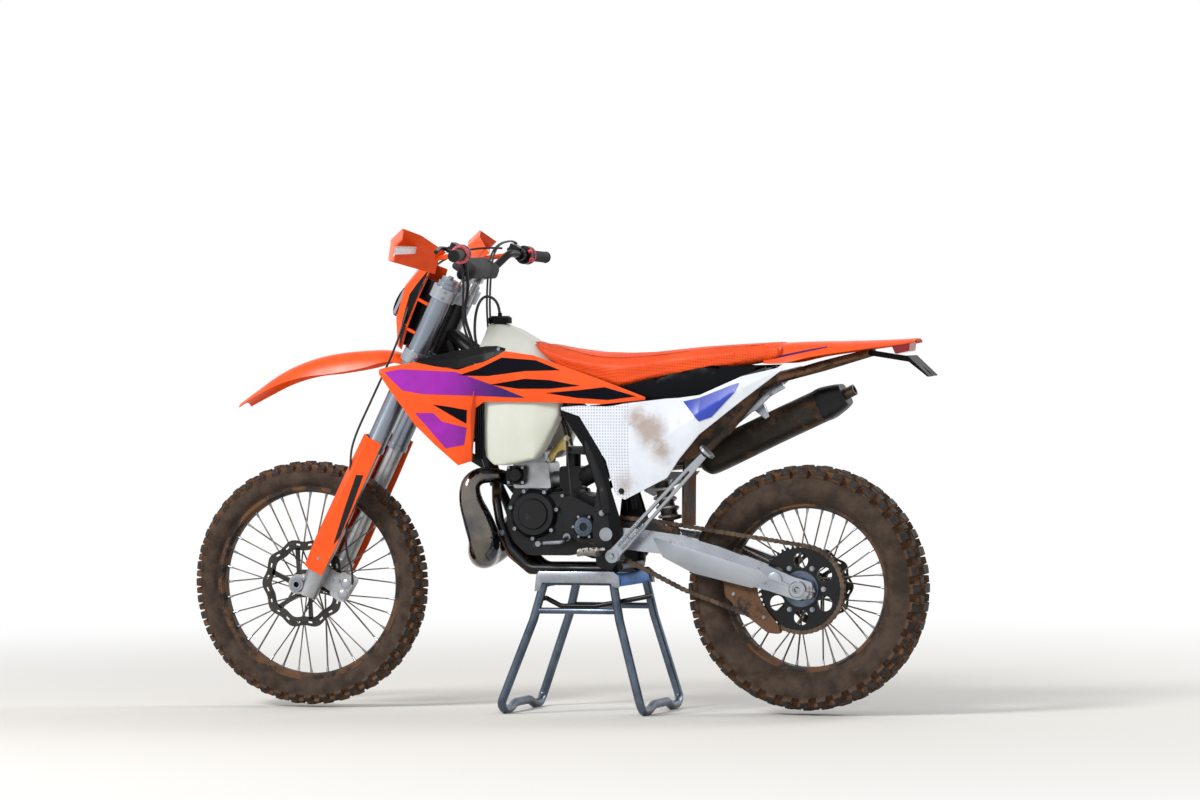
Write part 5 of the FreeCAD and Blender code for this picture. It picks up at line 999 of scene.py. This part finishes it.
def drape(name, node, outline, material, thick, cell, free=None, place=at, lift=0.5, level=0.0):
    """Lays a thin sheet, cut to an outline of x and z, on each side of a CAD node. Where there is no node
    behind it, it stands at a distance from the middle, or is cut away. Faces that slope more than the level
    allows stay bare."""
    for side, hand in SIDES:
        edit = bmesh.new()
        edit.faces.new([edit.verts.new(place(x, 0, z)) for x, z in outline])
        bmesh.ops.triangulate(edit, faces=edit.faces, ngon_method="EAR_CLIP")
        for index, normal in ((0, (1, 0, 0)), (2, (0, 0, 1))):
            low = min(vertex.co[index] for vertex in edit.verts)
            high = max(vertex.co[index] for vertex in edit.verts)
            for cut in range(1, int((high - low) / (cell * MM)) + 1):
                bmesh.ops.bisect_plane(edit, geom=edit.verts[:] + edit.edges[:] + edit.faces[:],
                                       plane_co=Vector(normal) * (low + cut * cell * MM), plane_no=normal)
        lost = []
        for vertex in edit.verts:
            start = Vector((vertex.co.x, side * 0.6, vertex.co.z))
            hit, normal = surface(node).ray_cast(start, Vector((0, -side, 0)))[:2]
            if hit is None and free is None or hit and abs(normal.y) < level:
                lost.append(vertex)
            else:
                vertex.co.y = (hit.y if hit else side * free * MM) + side * lift * MM
        bmesh.ops.delete(edit, geom=lost, context="VERTS")
        bmesh.ops.recalc_face_normals(edit, faces=edit.faces)
        if sum(face.normal.y for face in edit.faces) * side < 0:
            bmesh.ops.reverse_faces(edit, faces=edit.faces)
        bmesh.ops.solidify(edit, geom=edit.faces[:], thickness=-thick * MM)
        place_mesh(f"{name}_{hand}", edit, material, nodes[node]["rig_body"], 40)


# coated vinyl: a satin orange skin with pressed dots, drawn coarser than the real ones so that they show. The
# dots are sunk by a bump, and their darker orange is painted shade in the dents
seat_vinyl = finish("seat_vinyl", "#f85610", "#ec4c0c", 1.0, (0.42, 0.55), bump=0.1, blotch=120, shine=0.35)
tree, shader, vinyl = opened(seat_vinyl)
axes = add(tree, "SeparateXYZ", {}, {0: add(tree, "TexCoord").outputs["Object"]})
wide = add(tree, "Math", {"operation": "ABSOLUTE"}, {0: axes.outputs["Y"]})
down = add(tree, "Math", {"operation": "SUBTRACT"}, {0: axes.outputs["Z"], 1: wide.outputs[0]})
dot = dots(tree, axes.outputs["X"], down.outputs[0], DOT_SPACING, (0.36, 0.22))
# painted shade: a darker orange inside each pressed dot
shade = add(tree, "Mix", {"data_type": "RGBA"}, {0: dot, 6: vinyl, 7: linear("#d4420a")})
tree.links.new(shade.outputs[2], shader.inputs["Base Color"])
sunk = add(tree, "Bump", {"invert": True}, {"Height": dot, "Strength": 0.4, "Distance": 0.001})
tree.links.new(shader.inputs["Normal"].links[0].from_socket, sunk.inputs["Normal"])
tree.links.new(sunk.outputs[0], shader.inputs["Normal"])
# bonded nylon thread: matt and darker than the cover
seam_thread = finish("seam_thread", "#c23c10", "#a9330c", 0.8, (0.6, 0.8), bump=0.2)
# moulded polypropylene in the seat's shadow: black, nearly without a shine
seat_base = finish("black_seat_base", "#0d0e13", "#090a0e", 1.0, (0.3, 0.45), bump=0.03, shine=0.08)
cushion("seat", seat_vinyl, 7, 6, 3, 3)
edit = bmesh.new()
for side in (LEFT, RIGHT):
    line = []
    for x, share in SEAM_ROWS:
        hit = surface("seat").ray_cast(at(x, side * share, 1300), Vector((0, 0, -1)))[0]
        line.append(hit + Vector((0, 0, 0.2 * MM)))
    edit.from_mesh(tube_mesh("seam", line, 2.2))
place_mesh("seat_seams", edit, seam_thread, "chassis", 60)
drape("seat_base", "seat", SEAT_BASE, seat_base, 1.6, 14, free=107)


# Side panels: white polypropylene, with a dimpled patch where the rider's knees grip and a brown smear of
# soil, a plain blue field behind the seat and a bolt through the front lower corner.
DIMPLE_SPACING = 8.5
SMEARS = (
    # x and z, reach in metres
    ((-328, 792), 0.052), ((-285, 830), 0.03), ((-250, 640), 0.03), ((-360, 735), 0.035),
)
BLUE_FIELD = ((-424, 874), (-470, 884), (-556, 918), (-582, 926), (-572, 900), (-506, 830), (-471, 818),
              (-446, 848))
# polypropylene with a satin grain. Its dimples are drawn coarser than the real ones, and darker: painted
# shade in the dimples
panel_white = finish("white_polypropylene_marked", "#e3e7ef", "#d9dee8", 1.2, (0.35, 0.5), bump=0.04,
                     mud=0.06)
tree, shader, colour = opened(panel_white)
place = add(tree, "TexCoord").outputs["Object"]
smear = add(tree, "TexNoise", {}, {"Vector": place, "Scale": 38.0, "Detail": 8.0, "Roughness": 0.7})
for (x, z), reach in SMEARS:
    away = add(tree, "VectorMath", {"operation": "SUBTRACT"}, {0: place, 1: at(x, 0, z)})
    away = add(tree, "VectorMath", {"operation": "MULTIPLY"}, {0: away.outputs[0], 1: (1, 0, 1)})
    away = add(tree, "VectorMath", {"operation": "LENGTH"}, {0: away.outputs[0]})
    away = add(tree, "Math", {"operation": "MULTIPLY_ADD"},
               {0: smear.outputs[0], 1: 0.06, 2: away.outputs["Value"]})
    share = add(tree, "MapRange", {"interpolation_type": "SMOOTHSTEP"},
                {0: away.outputs[0], 1: reach + 0.045, 2: reach - 0.01, 4: 0.7})
    colour = add(tree, "Mix", {"data_type": "RGBA"},
                 {0: share.outputs[0], 6: colour, 7: linear("#8f6f55")}).outputs[2]
axes = add(tree, "SeparateXYZ", {}, {0: place})
# painted shade: the dimples have no relief, only a darker grey blue on the front part of the panel
dimple_shade = dots(tree, axes.outputs["X"], axes.outputs["Z"], DIMPLE_SPACING, (0.34, 0.18))
front = add(tree, "MapRange", {}, {0: axes.outputs["X"], 1: -0.262, 2: -0.256})
dimple_shade = add(tree, "Math", {"operation": "MULTIPLY"}, {0: dimple_shade, 1: front.outputs[0]})
colour = add(tree, "Mix", {"data_type": "RGBA"}, {0: dimple_shade.outputs[0], 6: colour, 7: linear("#aab2c0")})
tree.links.new(colour.outputs[2], shader.inputs["Base Color"])
# printed vinyl film: an even blue with a soft gloss
blank_blue = finish("blue_vinyl_film", "#2b45b8", "#2338a0", 3.0, (0.25, 0.35), bump=0.01)
rounded("side_panels", panel_white)
dress(muddy_black, "airbox")
drape("blank_field", "side_panels", BLUE_FIELD, blank_blue, 0.4, 5, lift=1.2)
fasten("panel_bolts", hex_bolt, both_seats("side_panels", [(-239, 622, 9)]), "chassis", black_coat)


# Shrouds: injection-moulded orange polypropylene with black wings and louvres. The graphics are printed vinyl
# film, a generic set of a magenta wedge and block and nearly black stripes.
# polypropylene coloured right through: a saturated orange, satin, with a fine moulded grain
orange_plastic = finish("orange_polypropylene", "#f9560a", "#ef4d06", 1.2, (0.26, 0.36), bump=0.03,
                        shine=0.35)
# vinyl film: a blue so dark that it looks black
trim_black = finish("dark_blue_vinyl_film", "#0c0b16", "#090812", 3.0, (0.25, 0.35), bump=0.01, shine=0.06)
# the magenta film is printed with a fade to violet towards the back
magenta = finish("magenta_vinyl_film", "#a32cb0", "#9429a0", 2.0, (0.25, 0.35), bump=0.01, shine=0.15)
tree, shader, violet = opened(magenta)
axes = add(tree, "SeparateXYZ", {}, {0: add(tree, "TexCoord").outputs["Object"]})
fade = add(tree, "MapRange", {"interpolation_type": "SMOOTHSTEP"}, {0: axes.outputs["X"], 1: 0.30, 2: 0.10})
violet = add(tree, "Mix", {"data_type": "RGBA"}, {0: fade.outputs[0], 6: violet, 7: linear("#3b2366")})
tree.links.new(violet.outputs[2], shader.inputs["Base Color"])
GRAPHICS = (
    ("wedge", magenta,
     ((448, 957), (400, 966), (240, 958), (110, 912), (40, 884), (170, 890), (330, 896), (392, 906))),
    ("stripe", trim_black,
     ((232, 948), (176, 966), (110, 998), (12, 990), (-60, 962), (40, 960), (150, 946))),
    ("dart", trim_black, ((140, 922), (40, 938), (-30, 934), (-120, 918), (-30, 910), (60, 910))),
    ("spear", trim_black, ((-20, 898), (-120, 906), (-190, 914), (-282, 888), (-200, 878), (-110, 884))),
    ("block", magenta, ((356, 842), (336, 820), (268, 742), (214, 752), (206, 800), (276, 818), (300, 842))),
    ("tooth", trim_black, ((300, 866), (206, 812), (204, 850), (256, 860))),
)
rounded("shrouds", orange_plastic)
rounded("shroud_wings", black_plastic)
for name, film, outline in GRAPHICS:
    drape(f"film_{name}", "shrouds", outline, film, 0.3, 5)
fasten("wing_screws", socket_screw, both_seats("shroud_wings", [(121, 1022, 5)]), "chassis")
edit = bmesh.new()
for side in (LEFT, RIGHT):
    slab(edit, ((162, 712), (190, 706), (190, 866), (162, 868)), side * 152, side * 156)
    for x in (163, 169, 175, 181):
        slab(edit, ((x, 714), (x + 2, 713), (x + 2, 864), (x, 864)), side * 156, side * 161, edge=0.3)
place_mesh("louvres", edit, black_plastic, "chassis")


# Tail: the rear mudguard is one injection moulding, crowned across and turned down at the sides, with a plain
# film along it. The muddy inner fender, the plate holder and a red lamp sit under it.
CROWN = 3.4
GUARD_THICKNESS = 3
GUARD_STEPS = 24


def mudguard(node, rows, place):
    """A thin arched shell through rows of x, z, half width and drop."""
    edit = bmesh.new()
    lines = []
    for x, z, half, drop in smooth_rows(rows, 5):
        lines.append([edit.verts.new(place(x, half * share, z - drop * abs(share) ** CROWN))
                      for share in (2 * step / GUARD_STEPS - 1 for step in range(GUARD_STEPS + 1))])
    for before, after in zip(lines, lines[1:]):
        for step in range(GUARD_STEPS):
            edit.faces.new((before[step], before[step + 1], after[step + 1], after[step]))
    bmesh.ops.recalc_face_normals(edit, faces=edit.faces)
    if sum(face.normal.z for face in edit.faces) < 0:
        bmesh.ops.reverse_faces(edit, faces=edit.faces)
    bmesh.ops.solidify(edit, geom=edit.faces[:], thickness=GUARD_THICKNESS * MM)
    stand_in(node, node + "_shell", edit, orange_plastic, 50)


# acrylic: a deep, glossy red
red_lens = finish("red_acrylic", "#b4141c", "#8c0c12", 4.0, (0.08, 0.16), bump=0.0)
mudguard("rear_mudguard",
         ((-640, 1030, 84, 50), (-700, 1037, 82, 56), (-780, 1040, 82, 42), (-868, 1041, 80, 30),
                           (-955, 1043, 74, 20), (-1030, 1046, 62, 14), (-1066, 1048, 46, 10)), at)
drape("tail_film", "rear_mudguard",
      ((-668, 998), (-760, 1016), (-820, 1026), (-820, 1023), (-760, 1011), (-668, 992)),
      magenta, 0.4, 12)
dress(muddy_black, "inner_fender")
dress(black_plastic, "plate_holder")
dress(red_lens, "tail_light")


# Fork: clear anodised outer tubes in turned clamps, cast feet, and moulded guards with a dark strip that
# stands for the chrome inner tube seen through each guard's slot, its dark colour painted shade.
# The cast brake caliper with its pistons sits on the left foot, and the front mudguard under the lower
# clamp.
STEM = Vector((0.375527, 0, 0.998))
RAKE = math.radians(26.1)
STEERING = Matrix.Translation(STEM) @ Matrix.Rotation(-RAKE, 4, "Y")
STRIP = ((4, -366), (24, -374), (14, -470), (-1, -584), (-9, -556), (-4, -460))
# the fork's outer tubes are clear anodised, a darker and bluer grey than the turned clamps
fork_grey = finish("clear_anodised_aluminium", "#8f98a4", "#7d8692", 3.0, (0.24, 0.34), metallic=0.85,
                   bump=0.0,
                   blotch=200)


def steered(x, y, z):
    """A point of the steered parts in millimetres: z up the steering axis from the lower clamp."""
    return STEERING @ (Vector((x, y, z)) * MM)


rounded("fork_tubes", fork_grey, 0.8)
rounded("triple_clamps", bright_alloy, 0.8)
rounded("fork_legs", cast_alloy)
rounded("fork_guards", orange_plastic)
rounded("front_brake", cast_alloy, 1.0)
mudguard("front_mudguard", ((-20, -34, 44, 8), (40, -8, 52, 14), (116, 26, 58, 30), (197, 27, 64, 50),
                            (290, 18, 66, 56), (370, -1, 66, 46), (450, -35, 64, 34), (528, -86, 58, 20),
                            (578, -121, 48, 12)), lambda x, y, z: STEM + Vector((x, y, z)) * MM)
# painted shade: a dark sheet on each guard where the inner tube shows through the slot
drape("guard_strip", "fork_guards", STRIP, black_anodised, 0.5, 12, place=steered)
clamp_bolts = [(steered(8, side * 131, z), ACROSS * side, 5)
               for side in (LEFT, RIGHT) for z in (-9, 9, 191, 209)]
fasten("clamp_bolts", socket_screw, clamp_bolts, "steering")
fasten("fork_guard_bolts", hex_bolt, both_seats("fork_guards", [(22, -640, 5)], steered), "steering")
fasten("caliper_bolts", hex_bolt,
       seats("front_brake", LEFT, [(-44, -682, 6), (-76, -708, 6), (-24, -690, 6)], steered), "steering")
edit = bmesh.new()
for point, out, radius in seats("front_brake", LEFT, [(-66, -680, 15), (-70, -712, 15)], steered):
    turned(edit, ((-4, 0), (-4, radius), (3, radius - 1), (5, radius - 4), (5, 0)), 28, point, out)
place_mesh("caliper_pistons", edit, bright_alloy, "steering")


# Handlebar: a bent tube with rubber grips, a mottled foam ring inside each, housings and end caps, a padded
# cloth cover on its cross bar, and moulded hand guards with a plain white patch.
PATCH = ((136, 316), (122, 322), (108, 306), (102, 280), (110, 256), (126, 256))
LEVER_FRONT = 0.026
# woven nylon: dark grey and matt
pad_cloth = finish("woven_black_nylon", "#26272b", "#1b1c20", 0.9, (0.7, 0.85), bump=0.3)
# chipped foam of mixed colours: pink and red flecks, matt
ring_foam = finish("mottled_foam", "#e2727c", "#a8303c", 2.0, (0.6, 0.8), bump=0.4, blotch=4)
# moulded plastic: a plain bright red
button_red = finish("red_button", "#e21f3a", "#c2142c", 6.0, (0.25, 0.4), bump=0.0)
# vinyl film: an even white with a soft gloss
blank_white = finish("white_vinyl_film", "#eef0f3", "#e4e7ec", 4.0, (0.25, 0.35), bump=0.01)


def bar_end(side, distance):
    """A point of the straight end of the bar, a distance in from its tip."""
    tip, inner = Vector((-56, side * 402, 354)), Vector((-18, side * 186, 348))
    return steered(*(tip + (inner - tip).normalized() * distance))


rounded("handlebar", black_anodised, 0.3)
rounded("hand_controls", black_anodised, 1.0, bright_alloy,
        lambda centre: (STEERING.inverted() @ centre).x > LEVER_FRONT)
rounded("hand_guards", orange_plastic)
dress(grip_rubber, "grips")
cushion("bar_pad", pad_cloth, 5, 5, 3, 3)
foam, housings = bmesh.new(), bmesh.new()
for side in (LEFT, RIGHT):
    inward = (bar_end(side, 100) - bar_end(side, 0)).normalized()
    turned(foam, arc(3, 21.5, 5.5, range(180, -180, -30)), 36, bar_end(side, 104), inward)
    turned(housings, ((0, 17), (0, 25), (3, 27), (15, 27), (18, 24), (18, 17)), 32, bar_end(side, 119.5),
           inward)
    turned(housings, ((0, 0), (0, 15), (3, 17.2), (3, 0)), 24, bar_end(side, 2), -inward)
place_mesh("grip_foam", foam, ring_foam, "steering")
place_mesh("bar_housings", housings, black_anodised, "steering")
edit = bmesh.new()
for x, y, z in ((-46, -262, 366), (-60, -256, 350)):
    turned(edit, ((0, 0), (0, 6), (8, 6), (10, 4), (10, 0)), 16, steered(x, y, z),
           (steered(x, y, z) - steered(-30, y, 350)).normalized())
place_mesh("stop_button", edit, button_red, "steering")
drape("blank_patch", "hand_guards", PATCH, blank_white, 0.4, 3, place=steered, level=0.6)


# Headlight: a polycarbonate lens in a moulded orange mask, with a black bezel, a plated reflector ring, a
# black sheet down each side of the mask's rear, standing for the black inner frame and wiring and painted
# shade there, and the brackets that hold the mask on the fork.
MASK_SHADE = ((84, 0), (92, 2), (98, 40), (108, 90), (120, 150), (112, 196), (102, 238), (94, 232), (92, 160),
              (86, 80))
BRACKET = ((44, 24), (90, 10), (96, 90), (100, 160), (96, 214), (58, 214), (52, 120))
# clear polycarbonate over a dark bowl: a cool grey with a hard gloss
lamp_glass = finish("lamp_polycarbonate", "#a3abb5", "#8b939e", 6.0, (0.05, 0.12), bump=0.0)
forward, upward = (STEERING.to_3x3() @ Vector(way) for way in ((1, 0, 0), (0, 0, 1)))
dress(lamp_glass, "headlight")
rounded("headlight_mask", orange_plastic)
# a black sheet laid on the mask's rear: partly the black inner frame and wiring, partly painted shade
drape("mask_shade", "headlight_mask", MASK_SHADE, black_plastic, 0.5, 10, place=steered)
edit = bmesh.new()
for side in (LEFT, RIGHT):
    slab(edit, BRACKET, side * 58, side * 62, steered)
    turned(edit, ((0, 0), (0, 9), (70, 9), (70, 0)), 20, steered(60, side * 66, 40), upward)
place_mesh("lamp_bracket", edit, black_plastic, "steering")
edit = bmesh.new()
turned(edit, ((-3, 43), (-3, 49), (2, 49), (4, 46), (2, 43)), 48, steered(157, 0, 113), forward)
turned(edit, ((0, 0), (0, 14), (3, 13), (5, 8), (5, 0)), 32, steered(158, 0, 113), forward)
place_mesh("lamp_bezel", edit, black_plastic, "steering")
edit = bmesh.new()
turned(edit, ((0, 16), (0, 42), (2.5, 42), (0.8, 30), (0.4, 16)), 48, steered(158, 0, 113), forward)
place_mesh("lamp_reflector", edit, plated_steel, "steering")


# Cables and hoses: sheathed lines, each fixed at both ends. Two throttle cables, the clutch's hydraulic hose
# and the wiring run from the bar in under the tank, and the brake hose stays on the fork down to the
# caliper. The tank's vent hose loops down behind the steering head, and a lead joins the plug to the frame.
# extruded plastic sheath: black and satin
cable_black = finish("black_cable_sheath", "#1a1b1e", "#121315", 3.0, (0.35, 0.5), bump=0.05)


def hose(name, diameter, turning, still=()):
    """A line through points of the steered parts and then of the frame. One that runs from the first to the
    second rides on no body and keeps its place."""
    points = [steered(*row) for row in turning] + [at(*row) for row in still]
    edit = bmesh.new()
    edit.from_mesh(tube_mesh(name, points, diameter))
    bmesh.ops.remove_doubles(edit, verts=edit.verts, dist=0.00001)
    body = "steering" if turning else "chassis"
    made = place_mesh(name, edit, cable_black, None if turning and still else body, 50)
    if turning and still:
        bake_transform(made)


hose("vent_hose", 8, (), ((166, 2, 1120), (168, 4, 1150), (190, 12, 1172), (214, 20, 1168), (230, 26, 1130),
                          (232, 34, 1070), (224, 38, 1030), (214, 38, 1000)))
hose("plug_lead", 8, (), ((60, 0, 768), (60, 2, 792), (40, 14, 812), (0, 30, 822), (-40, 34, 838)))
for name, shift in (("throttle_cable_a", 0), ("throttle_cable_b", 9)):
    hose(name, 6, ((-2, -262 + shift, 372), (-4, -236 + shift, 378)),
         ((186, -150, 1330), (196, -90 + shift, 1322), (207 + shift, -62, 1290), (213 + shift, -58, 1230),
          (217 + shift, -58, 1157), (214 + shift, -56, 1083), (204, -40, 1000), (176, -24 + shift, 905),
          (60, -20 + shift, 886), (-30, -8 + shift, 840), (-50, shift - 4, 736)))
hose("clutch_hose", 7, ((12, 226, 344), (-10, 190, 330), (-30, 120, 250)),
     ((256, 74, 1090), (224, 52, 1010), (176, 34, 905), (90, 32, 886), (0, 40, 876), (-52, 70, 800),
      (-63, 84, 716), (-70, 86, 650), (-72, 80, 592)))
hose("bar_wiring", 9, ((-16, 196, 346), (-30, 140, 290), (-34, 70, 230)),
     ((262, 44, 1120), (238, 30, 1040), (226, 20, 980)))
hose("brake_hose", 6.5, ((24, -236, 344), (90, -180, 318), (128, -60, 250), (122, 40, 180), (104, 92, 110),
                         (84, 108, 20), (84, 108, -160), (84, 112, -300), (56, 126, -360), (16, 128.5, -430),
                         (-10, 128, -520), (-34, 112, -590), (-72, 96, -630), (-84, 84, -672)))


# Foot pegs and pedals: each peg is a steel frame with a row of teeth along each edge and across it. The
# pedals are black coated on the right and zinc plated on the left, with a rubber tip on the shift lever.
PEG_FRONT, PEG_BACK, PEG_INNER, PEG_OUTER = -142, -196, 150, 242
TOOTH_PITCH = 10.2
SAW = ([(PEG_BACK + 9 * step, 464 if step in (1, 3, 5) else 455) for step in range(7)]
       + [(PEG_FRONT, 444), (PEG_BACK, 444)])
rounded("foot_controls", black_coat, 0.8, zinc_steel, lambda centre: centre.y > 0)
edit = bmesh.new()
for side in (LEFT, RIGHT):
    low = min(side * PEG_INNER, side * PEG_OUTER)
    for x in (-196, -146):
        slab(edit, ((x, 442), (x + 6, 442), (x + 6, 456), (x, 456)), side * PEG_INNER, side * PEG_OUTER)
        for start in (low + 1 + tooth * TOOTH_PITCH for tooth in range(9)):
            corners = [edit.verts.new(at(x + a, start + b, 455)) for a, b in ((0, 0), (6, 0), (6, 9), (0, 9))]
            tip = edit.verts.new(at(x + 3, start + 4.5, 464))
            for a, b in zip(corners, corners[1:] + corners[:1]):
                edit.faces.new((a, b, tip))
    for y in (150, 194, 238):
        slab(edit, SAW, side * y, side * (y + 4), edge=0.4)
stand_in("foot_pegs", "toothed_pegs", edit, spoke_steel, 30)
edit = bmesh.new()
turned(edit, ((0, 0), (0, 8), (2, 10), (20, 10), (22, 8), (22, 0)), 20, at(11, 140, 470), ACROSS)
place_mesh("shift_tip", edit, grip_rubber, "chassis")


# Side stand: a forged and slotted arm, its pivot eye and bolt, the foot and a pair of return springs.
ARM_FOOT, ARM_TIP = Vector((-224, 441)), Vector((-502, 734))
SPRING_RADIUS, SPRING_RISE, SPRING_STEPS = 3.4, 1.1, 6
length = (ARM_TIP - ARM_FOOT).length
lean = (ARM_TIP - ARM_FOOT) / length
square = Vector((-lean.y, lean.x))
ARM_ROWS = (
    # distance from the pivot, half width, half the slot's width
    (0, 16, 0), (40, 15, 0), (70, 15, 6), (150, 14, 6), (250, 12.5, 5), (330, 11, 4.5), (352, 10, 0),
    (length - 14, 8, 0),
)
edit = bmesh.new()
columns = []
for run, half, slot in ARM_ROWS:
    inner = slot or half * 0.4
    spots = [ARM_FOOT + lean * run + square * reach for reach in (-half, -inner, inner, half)]
    columns.append([edit.verts.new(at(spot.x, 169, spot.y)) for spot in spots])
flat = []
for index, (before, after) in enumerate(zip(columns, columns[1:])):
    for lane in range(3):
        if lane != 1 or index not in (2, 3, 4):
            flat.append(edit.faces.new((before[lane], after[lane], after[lane + 1], before[lane + 1])))
pull(edit, flat, (0, 15 * MM, 0))
turned(edit, ((0, 8), (0, 19), (20, 19), (20, 8)), 32, at(-224, 166, 441), ACROSS)
stamp(edit, hex_bolt, aim(at(-224, 185, 441), ACROSS, 10 * MM))
turned(edit, ((-4, 0), (-4, 24), (4, 24), (4, 0)), 24, at(-502, 176, 734), Vector((lean.x, 0, lean.y)))
for shift in (-7, 7):
    start = ARM_FOOT + lean * 34 + square * shift
    turns = []
    for step in range(90):
        angle = math.tau * step / SPRING_STEPS
        spot = start + lean * SPRING_RISE * step + square * SPRING_RADIUS * math.cos(angle)
        turns.append(at(spot.x, 189 + SPRING_RADIUS * math.sin(angle), spot.y))
    edit.from_mesh(tube_mesh("spring", turns, 2.4, 2))
stand_in("side_stand", "side_stand_forging", edit, bright_alloy, 30)


# Paddock stand: welded and galvanised steel tube with blue rubber rollers under the frame, a black coated
# lever, and a cut plate bolted along each side of its top.
STAND_PLATE = ((6, 386), (-2, 396), (-222, 396), (-238, 384), (-240, 352), (-226, 352), (-212, 364),
               (-12, 364),
               (-2, 340), (12, 340))
# moulded rubber coloured right through: a clear blue, matt
blue_rubber = finish("blue_rubber", "#2f7fd0", "#2568b4", 1.0, (0.45, 0.6), bump=0.1, mud=0.08)
# the blue in the stand tube's grey is a painted reflection of the sky
rounded("paddock_frame", galvanised_worn_painted_sky, 0.5)
dress(blue_rubber, "paddock_rollers")
dress(black_coat, "paddock_lever")
edit = bmesh.new()
for side in (LEFT, RIGHT):
    slab(edit, STAND_PLATE, side * 163, side * 166.5)
place_mesh("stand_plates", edit, zinc_steel, "chassis")
